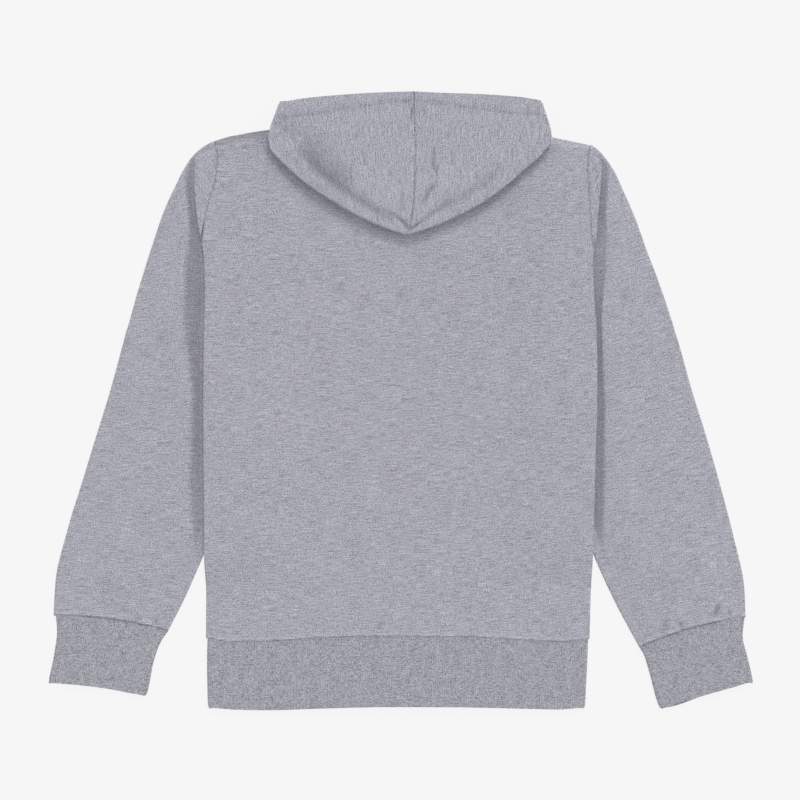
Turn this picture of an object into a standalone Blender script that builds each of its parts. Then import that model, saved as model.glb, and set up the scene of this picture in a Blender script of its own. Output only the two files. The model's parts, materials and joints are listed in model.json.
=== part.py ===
"""A zip-up hoodie that lies flat on its front, its hood spread over its back.

Metres, +Z up, +Y towards the hood, origin on the floor under the middle of the garment. The
tables and the sizes below are in millimetres. Each cut piece of cloth is a grid of sections:
a row of the grid is one section through the middle of the cloth, and Solidify gives it its
thickness. Left and right are the wearer's, so left is at -X while the garment lies face down.
"""

import math
from collections import namedtuple
from functools import partial

import bmesh
import bpy
from mathutils import Vector

MM = 0.001

# Cloth
CLOTH = 1.6  # french terry, one layer
RIB = 2.4  # cuffs and hem band: rib folded double
TAPE = 0.6
SEAM = 0.3  # between two pieces where they are sewn together
BENT_SEAM = 1.2  # the same where a hidden seam runs round a bend

# Heights of the middle of a layer above the floor
FLOOR_LAYER = CLOTH / 2
SLEEVE_TOP = 3.4
LIFT = 4.7  # underside of the cloth that lies over a sleeve
UNDER_LAYER = LIFT + CLOTH / 2
FOLD_RISE = 3.0  # from a folded layer to the one on it, middle to middle, near the hem
ARM_FOLD_RISE = 4.6  # the same beside the sleeves
SNUG = 0.45  # breadth of a body or hood fold as a share of its height
SHOULDER_BACK = 4.2
SHOULDER_FRONT = 2.3
BACK_MIDDLE = 5.0
BACK_NECK = 6.3
HEM_BACK = 5.5
CUFF_TOP = 4.0  # also the hem band at its folds
SLEEVE_PUFF = 2.2
CUFF_PUFF = 0.6
SLIDER_BUMP = 1.3  # rise of the back where the zip's slider lies under it

# Places where the heights change, and the lengths over which they do
LIFT_START = 1.0  # body cloth coming down beside the hidden edge of a sleeve
LIFT_RUN = 20.0
BACK_EDGE = 45.0  # width of the back panel that stays level beside its folded edge
BACK_RUN = 85.0  # from there to its flat middle
EDGE_RUN = 7.0  # panels rolling down to the shoulder seam
NECK_START = 120.0  # middle of the back rising to the neck
NECK_RUN = 70.0
FOLD_START = -190.0  # body folds growing from the hem to the sleeves
FOLD_RUN = 120.0
ARM_START = 6.0  # fronts rising on to the sleeves below the underarm
ARM_RUN = 24.0
HEAD_RUN = 24.0  # sleeve heads coming down from the armhole seam, above their fold
PUFF_RUN = 35.0  # sleeves rising from the body's edge
PUFF_END = 30.0  # and falling to their outer edge
PUFF_LEAST = 0.2
BUMP_RUN = 25.0

# Columns near the edges of the cloth
SEAM_STEP = 3.5  # back panel beside the armhole seam
ROUND_STEP = 0.6  # the same where the seam is about to go round the fold
UNDERARM_STEP = 5.5
BESIDE_SLEEVE = 1.5  # fold of the back panel's lower layer beside a hidden sleeve edge
NARROW_STRIP = 5.0  # a folded strip of sleeve narrower than this has a bent seam
NEAR_LIP = (0.007, 0.014, 0.021, 0.028, 0.035, 0.042)  # beside the lips of a sleeve's seam
OVER_SLEEVE = (0.18, 0.34, 0.52, 0.7, 0.87)
OVER_CUFF = (0.2, 0.4, 0.6, 0.8)

# Zip
PANEL_EDGE = 5.0  # from the middle of the zip to a front edge
CHAIN_WIDTH = 5.6
CHAIN_THICK = 1.6
CHAIN_LOW = 3.0  # middle of the chain along most of the front
CHAIN_HIGH = 4.4  # middle of the chain where the slider and its tab lie under it
TAPE_OUTER = 12.5
TAPE_STEP = 7.5
TAPE_INNER = 3.3
TAPE_STATIONS = (-352, -300, -271, -254, -150, 0, 120, 142, 165, 190, 215, 237, 258)
CHAIN_STATIONS = (-342, -200, -50, 100, 140, 157, 173, 190, 208, 226)
TAPE_DIP = (-271.0, 17.0)  # where the tape comes down from the hem band to the panels
CHAIN_LIFT = (140.0, 50.0)  # where the chain rises over the tab
SLIDER_Y = (226.5, 237.5)
SLIDER_CORNER = 0.4
HINGE_Y = 229.5
HINGE_Z = 1.75
TAB_LENGTH = 26.0
TAB_HALF_WIDTH = 3.3
TAB_HALF_THICK = 0.45
EYE_HALF_WIDTH = 1.5
EYE_LENGTH = 5.6
TAB_CORNER = 0.4
TAB_END_CORNER = 2.4
BOX_LENGTH = 9.5
BOX_HALF_WIDTH = 3.1
BOX_Z = (1.7, 3.9)
ZIP_END = -352.0
FRONT_HEM = -272.0  # where the front panels meet the hem band beside the zip

Block = namedtuple("Block", "name half_width start end low high")
OUTER_PLATE = Block("zip_slider", 4.5, *SLIDER_Y, 2.5, 3.4)
SLIDER_BLOCKS = (
    Block("inner_plate", 4.5, *SLIDER_Y, 5.4, 6.3),
    Block("wedge", 1.3, 232.5, 236.9, 3.1, 5.7),
    Block("bridge_low", 1.0, 227.4, 228.4, 0.2, 2.8),
    Block("bridge_high", 1.0, 233.4, 234.4, 0.2, 2.8),
    Block("bridge_bar", 0.9, 227.9, 233.9, 0.25, 1.0),
)

# Angles round a fold, from straight up to straight down
TOP, SIDE, UNDER = math.radians(90), 0.0, math.radians(-90)
LIP = math.radians(12)
BEND = math.radians(50)

# Body: the folded edges of the flattened tube and the side seams behind them, by height
Body = namedtuple("Body", "y left_fold right_fold left_seam right_seam")
BODY = (
    Body(-352, -221.9, 211.5, -200, 192),
    Body(-314, -223.1, 213.5, -200, 193),
    Body(-272, -224.3, 217.0, -201, 194),
    Body(-220, -224.0, 218.3, -199, 192),
    Body(-175, -226.5, 220.7, -196, 189),
    Body(-115, -226.9, 222.3, -189, 185),
    Body(-55, -227.3, 223.9, -182, 179),
    Body(0, -227.7, 225.4, -175, 174),
    Body(50, -227.4, 225.4, -170, 170),
    Body(77, -227.0, 224.8, -170, 170),
    Body(118, -225.8, 221.9, -170, 170),
    Body(152, -226.2, 220.8, -170, 170),
    Body(181, -229.3, 221.9, -170, 170),
    Body(213, -235.0, 225.8, -170, 170),
    Body(251, -238.0, 229.5, -170, 170),
    Body(282, -236.2, 230.0, -170, 170),
)
LOWER_ROWS = (50.0, 0.0, -55.0, -115.0, -175.0, -222.0)
ARMHOLE_END = -60.0  # down to here the hidden side seam is bent

# Sleeve head: back armhole seam, fold of the sleeve over itself, the hidden fold under it,
# outer edge and front armhole seam. The first three rows are above the fold, and from the
# "round" row down the back seam lies hidden under the body's folded edge.
Head = namedtuple("Head", "kind back fold hidden outer front")
LEFT_HEAD = (
    Head("plain", (-213.6, 298.2), None, None, (-217.0, 297.8), (-213.6, 297.8)),
    Head("plain", (-213.2, 294.5), None, None, (-222.5, 294.7), (-213.0, 294.0)),
    Head("plain", (-211.8, 288.0), None, None, (-230.5, 289.6), (-212.0, 287.0)),
    Head("folded", (-210.4, 280.6), (-236.0, 281.0), (-231.0, 281.0), (-239.6, 281.4), (-208, 279)),
    Head("folded", (-211.6, 266.8), (-237.4, 266.6), (-227.0, 266.4), (-249.2, 267.6), (-203, 265)),
    Head("folded", (-213.8, 250.0), (-238.0, 250.0), (-220.0, 249.0), (-257.6, 251.0), (-199, 248)),
    Head("folded", (-219.8, 233.0), (-237.2, 232.0), (-213.0, 231.0), (-265.8, 234.0), (-195, 230)),
    Head("folded", (-224.4, 213.0), (-235.0, 213.0), (-208.0, 213.0), (-273.6, 216.0), (-191, 211)),
    Head("folded", (-227.6, 191.0), (-231.6, 191.0), (-204.5, 190.0), (-281.6, 193.0), (-186, 188)),
    Head("round", (-229.3, 181.0), (-229.3, 181.0), (-202.0, 179.0), (-285.8, 180.0), (-184, 178)),
    Head("hidden", (-216.0, 152.0), None, (-196.0, 150.0), (-295.0, 151.0), (-180, 149)),
    Head("hidden", (-202.0, 118.0), None, (-188.0, 116.0), (-303.8, 122.5), (-176, 116)),
    Head("hidden", (-181.0, 77.0), None, (-175.5, 75.0), (-313.4, 88.0), (-172.5, 76)),
)
RIGHT_HEAD = (
    Head("plain", (216.4, 293.4), None, None, (219.8, 293.4), (216.2, 293.0)),
    Head("plain", (216.0, 289.6), None, None, (224.6, 289.8), (215.8, 289.0)),
    Head("plain", (215.2, 283.6), None, None, (231.8, 283.0), (213.0, 282.0)),
    Head("folded", (214.3, 275.0), (230.4, 275.0), (225.4, 275.0), (238.4, 274.8), (209, 273)),
    Head("folded", (213.9, 261.6), (230.2, 260.0), (220.5, 260.0), (247.6, 259.6), (204, 259)),
    Head("folded", (215.0, 243.4), (229.2, 243.0), (213.5, 242.0), (255.3, 242.4), (199, 241)),
    Head("folded", (216.2, 227.8), (227.6, 227.0), (207.5, 226.0), (262.4, 226.8), (195, 226)),
    Head("folded", (217.4, 211.0), (226.2, 211.0), (202.5, 210.0), (269.0, 211.0), (191, 209)),
    Head("folded", (218.6, 188.0), (224.4, 188.0), (198.5, 187.0), (277.4, 188.0), (186, 186)),
    Head("round", (221.6, 171.0), (221.6, 171.0), (194.6, 170.0), (283.4, 171.0), (183, 169)),
    Head("hidden", (210.0, 148.0), None, (190.0, 146.0), (292.3, 148.0), (180, 145)),
    Head("hidden", (198.0, 115.0), None, (184.0, 113.0), (304.1, 115.0), (176, 113)),
    Head("hidden", (181.0, 76.0), None, (175.5, 74.0), (312.9, 87.6), (172.5, 75)),
)

ROUND_ROW = 9  # where the back armhole seam goes round the body's folded edge
LAST_HEAD_ROW = len(LEFT_HEAD) - 1

# Sleeve from the underarm to the cuff seam: its inner and outer edges, and how far the middle
# of the section bows towards the shoulder
Tube = namedtuple("Tube", "inner outer bow")
LEFT_SLEEVE = (
    Tube((-175.0, 68.0), (-316.2, 79.0), 0.0),
    Tube((-171.5, 50.0), (-321.0, 61.0), 0.0),
    Tube((-183.0, 0.0), (-335.6, 8.0), 0.0),
    Tube((-191.5, -55.0), (-349.8, -38.0), 0.0),
    Tube((-201.5, -115.0), (-366.4, -92.0), 1.0),
    Tube((-222.0, -175.0), (-383.5, -148.0), 2.0),
    Tube((-250.0, -229.4), (-397.4, -208.0), 3.5),
    Tube((-267.4, -263.0), (-399.6, -246.2), 5.0),
)
RIGHT_SLEEVE = (
    Tube((175.0, 67.0), (315.3, 79.4), 0.0),
    Tube((171.5, 50.0), (320.8, 61.6), 0.0),
    Tube((182.5, 0.0), (335.2, 10.0), 0.0),
    Tube((190.5, -55.0), (350.6, -39.0), 0.0),
    Tube((199.5, -115.0), (367.4, -98.0), 1.0),
    Tube((216.0, -175.0), (382.0, -154.0), 2.0),
    Tube((246.4, -232.0), (394.8, -214.0), 3.5),
    Tube((273.5, -281.6), (396.4, -248.2), 5.0),
)
LEFT_CUFF = (
    Tube((-267.5, -263.35), (-396.8, -246.7), 5.0),
    Tube((-276.4, -277.5), (-395.6, -264.5), 3.2),
    Tube((-284.4, -300.0), (-399.0, -292.0), 1.4),
    Tube((-292.4, -338.4), (-405.4, -324.4), 2.4),
)
RIGHT_CUFF = (
    Tube((273.8, -282.0), (395.0, -248.9), 5.0),
    Tube((279.2, -292.0), (393.0, -270.0), 3.0),
    Tube((286.2, -315.0), (398.0, -292.5), 0.6),
    Tube((297.2, -353.2), (405.0, -323.8), 0.9),
)

# Hem band: its seam and its lower edge along the back
Hem = namedtuple("Hem", "x seam bottom")
HEM = (
    Hem(-224, -272.5, -352.8),
    Hem(-193, -276.4, -354.7),
    Hem(-157, -275.9, -355.5),
    Hem(-70, -270.3, -352.7),
    Hem(18, -269.7, -350.9),
    Hem(106, -271.6, -352.7),
    Hem(179, -276.9, -354.7),
    Hem(213, -273.2, -352.8),
)
HEM_ROWS = (0.0, 0.33, 0.67, 1.0)  # shares of its depth

# Top edge of the body: shoulder tip to neck
Edge = namedtuple("Edge", "x y")
SHOULDER = (
    Edge(-213.6, 298.6),
    Edge(-189.0, 306.4),
    Edge(-171.0, 309.6),
    Edge(-151.0, 308.4),
    Edge(-93.0, 322.0),
    Edge(-67.0, 311.5),
    Edge(-32.0, 303.0),
    Edge(3.2, 300.0),
    Edge(38.0, 303.0),
    Edge(72.0, 311.5),
    Edge(100.0, 322.0),
    Edge(150.0, 308.0),
    Edge(187.0, 300.2),
    Edge(216.4, 293.8),
)

# Front neckline, from the side of the neck to the zip
LEFT_NECK = ((-93.0, 322.0), (-88.0, 303.0), (-77.0, 281.0), (-54.0, 257.0), (-5.3, 241.0))
RIGHT_NECK = ((100.0, 322.0), (95.0, 303.0), (83.0, 281.0), (57.0, 257.0), (5.3, 241.0))

# Hood, each row a path over the bag: neck seam, fold of the collar, bottom fold of the bag,
# rim of the face opening. The last row is the corner where the rim turns under.
Bag = namedtuple("Bag", "neck collar bottom rim")
LEFT_BAG = (
    Bag((3.2, 300.0), (5.0, 337.0), (6.7, 189.7), (14.8, 355.2)),
    Bag((-14.4, 301.5), (-14.0, 338.0), (-21.0, 199.0), (-12.0, 354.4)),
    Bag((-32.0, 303.0), (-38.0, 338.6), (-50.0, 212.0), (-40.0, 353.2)),
    Bag((-49.5, 307.3), (-64.0, 339.0), (-80.5, 230.0), (-68.0, 351.3)),
    Bag((-67.0, 311.5), (-91.0, 339.0), (-109.0, 249.2), (-96.0, 348.8)),
    Bag((-80.0, 316.8), (-112.0, 338.6), (-132.6, 269.8), (-117.0, 346.3)),
    Bag((-88.0, 320.0), (-124.0, 338.0), (-150.2, 290.6), (-130.0, 343.9)),
    Bag((-91.6, 321.4), (-130.0, 337.6), (-151.6, 300.0), (-138.0, 343.3)),
)
LEFT_CORNER = (-140.0, 340.2)
RIGHT_BAG = (
    Bag((3.2, 300.0), (5.0, 337.0), (6.7, 189.7), (14.8, 355.2)),
    Bag((20.6, 301.5), (30.0, 338.0), (37.1, 199.8), (43.0, 353.6)),
    Bag((38.0, 303.0), (56.0, 338.8), (66.9, 212.8), (70.0, 352.8)),
    Bag((55.0, 307.3), (80.0, 339.4), (95.1, 228.2), (94.0, 351.8)),
    Bag((72.0, 311.5), (104.0, 340.0), (121.0, 247.0), (117.0, 350.4)),
    Bag((86.0, 316.8), (125.0, 340.0), (143.2, 266.6), (137.0, 348.4)),
    Bag((94.0, 319.8), (140.0, 339.6), (161.0, 282.6), (150.6, 346.2)),
    Bag((98.0, 321.2), (150.0, 339.4), (172.2, 301.0), (160.0, 344.0)),
)
RIGHT_CORNER = (161.8, 341.6)
LEFT_RIM = ((-88.0, 337.0), (-62.0, 327.0), (-33.0, 306.0), (-6.4, 262.0))
RIGHT_RIM = ((95.0, 338.0), (66.0, 328.0), (35.0, 307.0), (6.4, 262.0))
SEAM_BOW = 6.0  # how far the hood's centre seam leans over between its tip and the rim
CENTRE_GAP = SEAM * 0.75  # from the middle of the hood's centre seam to each half
NECK_BASE = 300.0  # the neck seam at the middle of the back
HOOD_CLEAR = 0.5  # between the back and the hood on it
BAG_RISE = 3.4  # from the hood's lower layer to its upper one at the folds
BAG_PUFF = 2.2
BAG_PUFF_RUN = (45.0, 60.0)  # from the bottom fold and from the rim
BAG_PUFF_LEAST = (0.45, 0.25)  # at the centre seam and at the rim
HOVER = 5.0  # how far the bag springs clear of the back at its bottom fold
HOVER_RUN = 75.0
BAG_UNDER = (0.35, 0.7, 1.0)
BAG_OVER = (0.0, 0.14, 0.38, 0.64, 0.86, 1.0)
NECK_TOP_Z = 3.4
CORNER_Z = 3.2  # lower edge of the rim at the hood's corners
CORNER_BULGE = 2.0
CORNER_WAY = (0.94, 0.34)

ACROSS = (0.06, 0.15, 0.28, 0.4, 0.5, 0.6, 0.72, 0.85, 0.94)
TOP_ACROSS = (-150.0, -93.0, -67.0, -32.0, 3.2, 38.0, 72.0, 100.0, 150.0)
SHOULDER_ACROSS = (0.0, 0.08, 0.22, 0.5)
SHOULDER_SHARE = 0.6  # of a front's width under its shoulder seam
NECK_ACROSS = (0.62, 0.7, 0.78, 0.88, 1.0)

Side = namedtuple("Side", "name out head sleeve cuff neck bag corner rim fold seam")
LEFT = Side(
    "left", -1, LEFT_HEAD, LEFT_SLEEVE, LEFT_CUFF, LEFT_NECK, LEFT_BAG, LEFT_CORNER, LEFT_RIM,
    "left_fold", "left_seam",
)
RIGHT = Side(
    "right", 1, RIGHT_HEAD, RIGHT_SLEEVE, RIGHT_CUFF, RIGHT_NECK, RIGHT_BAG, RIGHT_CORNER,
    RIGHT_RIM, "right_fold", "right_seam",
)
SIDES = (LEFT, RIGHT)


def mix(a, b, t):
    """A place between two others."""
    return a + (b - a) * t


def ease(t):
    """0 to 1 as t goes from 0 to 1, level at both ends."""
    t = min(max(t, 0.0), 1.0)
    return t * t * (3 - 2 * t)


def read(table, key, column, at):
    """The table's column at a place along its key, in straight lines between the rows."""
    rows = [(getattr(row, key), getattr(row, column)) for row in table]
    if at <= rows[0][0]:
        return rows[0][1]
    for (low, a), (high, b) in zip(rows, rows[1:]):
        if at <= high:
            return mix(a, b, (at - low) / (high - low))
    return rows[-1][1]


def inner_edge(side, y):
    """Where the hidden inner edge of a sleeve runs under the body."""
    edge = [row.inner for row in side.sleeve]
    if y >= edge[0][1]:
        return edge[0][0]
    for (xa, ya), (xb, yb) in zip(edge, edge[1:]):
        if y >= yb:
            return mix(xa, xb, (ya - y) / (ya - yb))
    return edge[-1][0]


def lift(x, y):
    """Underside of the body's lower layer: on the floor, or raised over a sleeve."""
    raised = 0.0
    for side in SIDES:
        inboard = (inner_edge(side, y) - x) * side.out
        raised += LIFT * (1 - ease((inboard - LIFT_START) / LIFT_RUN))
    return raised


def inwards(distance):
    """0 near the body's edge to 1 in the flat of the back."""
    return ease((distance - BACK_EDGE) / BACK_RUN)


def body_edge(side, y):
    """Outer edge of the body as seen from above: its fold, or its armhole seam higher up."""
    seam = [row.back for row in side.head[: ROUND_ROW + 1]]
    if y <= seam[-1][1]:
        return read(BODY, "y", side.fold, y)
    for (xa, ya), (xb, yb) in zip(seam, seam[1:]):
        if y >= yb:
            return mix(xa, xb, min(max((ya - y) / (ya - yb), 0.0), 1.0))
    return seam[-1][0]


def fold_height(y):
    """How far the body's upper layer stands over its lower one at its folded sides."""
    return mix(FOLD_RISE, ARM_FOLD_RISE, ease((y - FOLD_START) / FOLD_RUN))


def back_height(x, y):
    """Middle of the back panel's cloth, away from its top edge."""
    middle = mix(BACK_MIDDLE, BACK_NECK, ease((y - NECK_START) / NECK_RUN))
    side = LEFT if x < 0 else RIGHT
    edge = body_edge(side, y)
    over_sleeve = LIFT if y > side.sleeve[0].inner[1] else lift(edge, y)
    at_edge = over_sleeve + CLOTH / 2 + fold_height(y)
    height = mix(at_edge, middle, inwards(abs(edge - x)))
    slider = math.exp(-((x / BUMP_RUN) ** 2) - ((y - sum(SLIDER_Y) / 2) / BUMP_RUN) ** 2)
    return height + SLIDER_BUMP * slider


def rolled(height, edge_height, distance):
    """A height that rolls down to that of an edge, as a quarter of an ellipse."""
    t = 1 - min(max(distance, 0.0) / EDGE_RUN, 1.0)
    return edge_height + (height - edge_height) * math.sqrt(1 - t * t)


def back_layer(x, y):
    """Middle of the back panel's cloth."""
    return rolled(back_height(x, y), SHOULDER_BACK, read(SHOULDER, "x", "y", x) - y)


def front_layer(side, x, y):
    """Middle of a front panel's cloth."""
    down_from_arm = ease((side.sleeve[0].inner[1] + ARM_START - y) / ARM_RUN)
    height = FLOOR_LAYER + lift(x, y) * down_from_arm
    if abs(x) < abs(side.neck[0][0]):
        return height
    return rolled(height, SHOULDER_FRONT, read(SHOULDER, "x", "y", x) - y)


def half_turn(side, edge, y, top, low, thick, angles, inward=False, snug=1.0):
    """Points round the fold of a flattened layer, whose outer face reaches the edge."""
    radius = (top - low) / 2
    deep = radius * snug
    out = -side.out if inward else side.out
    centre = edge - out * (thick / 2 + deep)
    height = (top + low) / 2
    return [
        Vector((centre + out * deep * math.cos(a), y, height + radius * math.sin(a)))
        for a in angles
    ]


def along(a, b, count):
    """Points spaced evenly between two others."""
    return [a.lerp(b, i / (count + 1)) for i in range(1, count + 1)]


def head_section(side, row):
    """One section of a sleeve head, from the back armhole seam round to the front one."""
    out = side.out
    bx, by = row.back
    ox, oy = row.outer
    fx, fy = row.front
    strip = back_layer(bx, by)
    front = Vector((fx + out * SEAM, fy, front_layer(side, fx, fy)))
    turn = (TOP, BEND, SIDE, -BEND, UNDER)
    if row.kind == "plain":
        top = mix(strip, SLEEVE_TOP, ease(abs(ox - bx) / HEAD_RUN))
        outer = half_turn(side, ox, oy, top, FLOOR_LAYER, CLOTH, turn)
        start = Vector((bx + out * SEAM, by, strip))
        points = [start, *along(start, outer[0], 13)]
        return points + outer + along(outer[-1], front, 3) + [front]
    hx, hy = row.hidden
    outer = half_turn(side, ox, oy, SLEEVE_TOP, FLOOR_LAYER, CLOTH, turn)
    fold = half_turn(side, hx, hy, UNDER_LAYER, SLEEVE_TOP, CLOTH, (TOP, SIDE, UNDER), inward=True)
    if row.kind == "folded":
        ex, ey = row.fold
        under = strip - fold_height(by)
        fold[0].z = under
        edge = half_turn(side, ex, ey, strip, under, CLOTH, (TOP, SIDE, UNDER), snug=SNUG)
        gap = SEAM if abs(ex - bx) > NARROW_STRIP else BENT_SEAM
        start = Vector((bx + out * gap, by, strip))
        points = [start, start.lerp(edge[0], 0.5), *edge, edge[-1].lerp(fold[0], 0.5), *fold]
    elif row.kind == "round":
        ex, ey = row.fold
        angles = (-3 * LIP, math.radians(-55), math.radians(-75), UNDER)
        high = UNDER_LAYER + fold_height(by)
        edge = half_turn(side, ex, ey, high, UNDER_LAYER, CLOTH, angles)
        points = edge + along(edge[-1], fold[0], 2) + fold
    else:
        start = Vector((bx - out * BENT_SEAM, by, UNDER_LAYER))
        points = [start, *along(start, fold[0], 5), *fold]
    top = along(points[-1], outer[0], 5)
    puff_up(side, top)
    return points + top + outer + along(outer[-1], front, 3) + [front]


def puff_up(side, points):
    """Raises a sleeve's upper layer between the body's edge and the sleeve's outer edge."""
    outer = points[-1].x
    for point in points:
        clear = (point.x - body_edge(side, point.y)) * side.out
        falling = ease(abs(outer - point.x) / PUFF_END + PUFF_LEAST)
        point.z += SLEEVE_PUFF * ease(clear / PUFF_RUN) * falling


def puff_cuff(points):
    """Raises a cuff's upper layer a little, less beside its edges."""
    for i, point in enumerate(points):
        point.z += CUFF_PUFF * ease(min(i + 1, len(points) - i) / 2)


def tube_section(side, row, top, thick, near, far, puff):
    """One section of a flattened tube, from the upper lip of its seam round to the lower one."""
    low = thick / 2
    inner_turn = (LIP, BEND, TOP)
    ix, iy = row.inner
    ox, oy = row.outer
    upper = half_turn(side, ix, iy, top, low, thick, inner_turn, inward=True)
    outer = half_turn(side, ox, oy, top, low, thick, (TOP, BEND, SIDE, -BEND, UNDER))
    lower = half_turn(side, ix, iy, top, low, thick, (UNDER, -BEND, -LIP), inward=True)
    layer = [upper[-1].lerp(outer[0], t) for t in near + far]
    puff(layer[len(near):])
    points = upper + layer + outer + [outer[-1].lerp(lower[0], 0.5)] + lower
    for point in points:
        t = min(max((point.x - ix) / (ox - ix), 0.0), 1.0)
        point.y += row.bow * 4 * t * (1 - t)
    return points


def sleeve_rows(side):
    """Sections of a sleeve, from its head down to the cuff seam."""
    puff = partial(puff_up, side)
    return [head_section(side, row) for row in side.head] + [
        tube_section(side, row, SLEEVE_TOP, CLOTH, NEAR_LIP, OVER_SLEEVE, puff)
        for row in side.sleeve
    ]


def cuff_rows(side):
    """Sections of a cuff, from its lower edge up to its seam."""
    return [
        tube_section(side, row, CUFF_TOP, RIB, (), OVER_CUFF, puff_cuff)
        for row in reversed(side.cuff)
    ]


def hem_line(x, column="seam"):
    """Height of the hem band's seam, or of its lower edge, across the back."""
    return read(HEM, "x", column, x)


def back_edge_points(side, index, y):
    """The five columns of the back panel at one side, from its seam to the flat of the panel."""
    out = side.out
    if index <= ROUND_ROW:
        bx, by = side.head[index].back
        if index == ROUND_ROW:
            angles = (2 * LIP, math.radians(40), math.radians(60), math.radians(78), TOP)
            high = UNDER_LAYER + fold_height(by)
            return half_turn(side, bx, by, high, UNDER_LAYER, CLOTH, angles)
        step = ROUND_STEP if index == ROUND_ROW - 1 else SEAM_STEP
        points = []
        for i in range(5):
            x = bx - out * step * i
            points.append(Vector((x, by, back_layer(x, by))))
        return points
    fold = read(BODY, "y", side.fold, y)
    if index <= LAST_HEAD_ROW:
        seam, under = side.head[index].back[0], UNDER_LAYER
        seam_height = UNDER_LAYER
    elif index == LAST_HEAD_ROW + 1:
        seam, under = side.sleeve[0].inner[0] + out * UNDERARM_STEP, UNDER_LAYER
        seam_height = UNDER_LAYER
    else:
        seam = read(BODY, "y", side.seam, y)
        under = lift(fold, y) + CLOTH / 2
        seam_height = lift(seam, y) + CLOTH / 2
    high = under + fold_height(y)
    turn = half_turn(side, fold, y, high, under, CLOTH, (UNDER, SIDE, TOP), snug=SNUG)
    start = Vector((seam, y, seam_height))
    beside = inner_edge(side, y) + out * BESIDE_SLEEVE
    if not (seam < beside < turn[0].x or turn[0].x < beside < seam) or index <= LAST_HEAD_ROW + 1:
        beside = (seam + turn[0].x) / 2
    middle = Vector((beside, y, max(lift(beside, y) + CLOTH / 2, seam_height)))
    if index <= LAST_HEAD_ROW + 1:
        middle.z = UNDER_LAYER
    return [start, middle, *turn]


def row_heights():
    """For each row of the body's panels: heights at the left and right, and how far the row
    follows the shoulders (1) or the hem seam (-1)."""
    rows = []
    for i, (left, right) in enumerate(zip(LEFT_HEAD, RIGHT_HEAD)):
        rows.append((left.back[1], right.back[1], max(0.0, 1 - i / ROUND_ROW) ** 0.6))
    rows.append((LEFT_SLEEVE[0].inner[1], RIGHT_SLEEVE[0].inner[1], 0.0))
    rows += [(y, y, 0.0) for y in LOWER_ROWS]
    rows.append((HEM[0].seam, HEM[-1].seam, -1.0))
    return rows


def shape_offset(x, follow):
    """How far a row rises above the straight line between its two ends."""
    if follow == 0:
        return 0.0
    ends = (SHOULDER[0], SHOULDER[-1]) if follow > 0 else (HEM[0], HEM[-1])
    line = [row.y if follow > 0 else row.seam for row in ends]
    t = (x - ends[0].x) / (ends[1].x - ends[0].x)
    shape = read(SHOULDER, "x", "y", x) if follow > 0 else hem_line(x)
    return abs(follow) * (shape - mix(line[0], line[1], t))


def back_rows():
    """Rows of the back panel, from the neck down to the hem seam."""
    rows = []
    for index, (left_y, right_y, follow) in enumerate(row_heights()):
        left = back_edge_points(LEFT, index, left_y)
        right = back_edge_points(RIGHT, index, right_y)
        low, high = left[-1].x, right[-1].x
        share = max(0.0, 1 - index / (LAST_HEAD_ROW + 1))
        inner = []
        for t, top_x in zip(ACROSS, TOP_ACROSS):
            x = mix(mix(low, high, t), top_x, share)
            y = mix(left_y, right_y, (x - low) / (high - low))
            y += shape_offset(x, follow)
            if index == 0:
                y = read(SHOULDER, "x", "y", x) - SEAM
            inner.append(Vector((x, y, back_layer(x, y))))
        if index == 0:
            for point in left + right:
                point.y = read(SHOULDER, "x", "y", point.x) - SEAM
                point.z = SHOULDER_BACK
        rows.append(left + inner + right[::-1])
    return rows


def front_edge(side, index, y):
    """Outer edge of a front panel: the front armhole seam, then the side seam."""
    if index <= LAST_HEAD_ROW:
        return side.head[index].front[0]
    gap = BENT_SEAM if y > ARMHOLE_END else SEAM
    return read(BODY, "y", side.seam, min(y, LOWER_ROWS[0])) - side.out * gap


def front_rows(side):
    """Rows of a front panel, from the shoulder and neck down to the hem band."""
    rows = []
    neck = [Vector((x, y - SEAM, 0)) for x, y in side.neck]
    top = []
    for t in SHOULDER_ACROSS:
        x = mix(side.head[0].front[0], side.neck[0][0], t / SHOULDER_SHARE)
        top.append(Vector((x, read(SHOULDER, "x", "y", x) - SEAM, 0)))
    top += neck
    top[0] = Vector((*side.head[0].front, 0))
    fractions = SHOULDER_ACROSS + NECK_ACROSS
    heights = row_heights()
    bottom = heights[-1][0 if side.out < 0 else 1]
    for index, row in enumerate(heights):
        y_side = row[0 if side.out < 0 else 1]
        if index <= LAST_HEAD_ROW:
            y_side = side.head[index].front[1]
        v = (y_side - bottom) / (top[0].y - bottom)
        outer = front_edge(side, index, y_side)
        points = []
        for t, above in zip(fractions, top):
            straight = mix(outer, side.out * PANEL_EDGE, t)
            x = mix(straight, above.x, v**4) if 0 < t < 1 else straight
            base = mix(bottom, FRONT_HEM, ease(t * 3))
            y = mix(base, above.y, v) if t > 0 else y_side
            points.append(Vector((x, y, 0)))
        for point in points:
            point.z = front_layer(side, point.x, point.y)
        if index == 0:
            for point in points[:4]:
                point.z = SHOULDER_FRONT
            points[4].z = mix(SHOULDER_FRONT, FLOOR_LAYER, 0.5)
        rows.append(points)
    return rows


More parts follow.
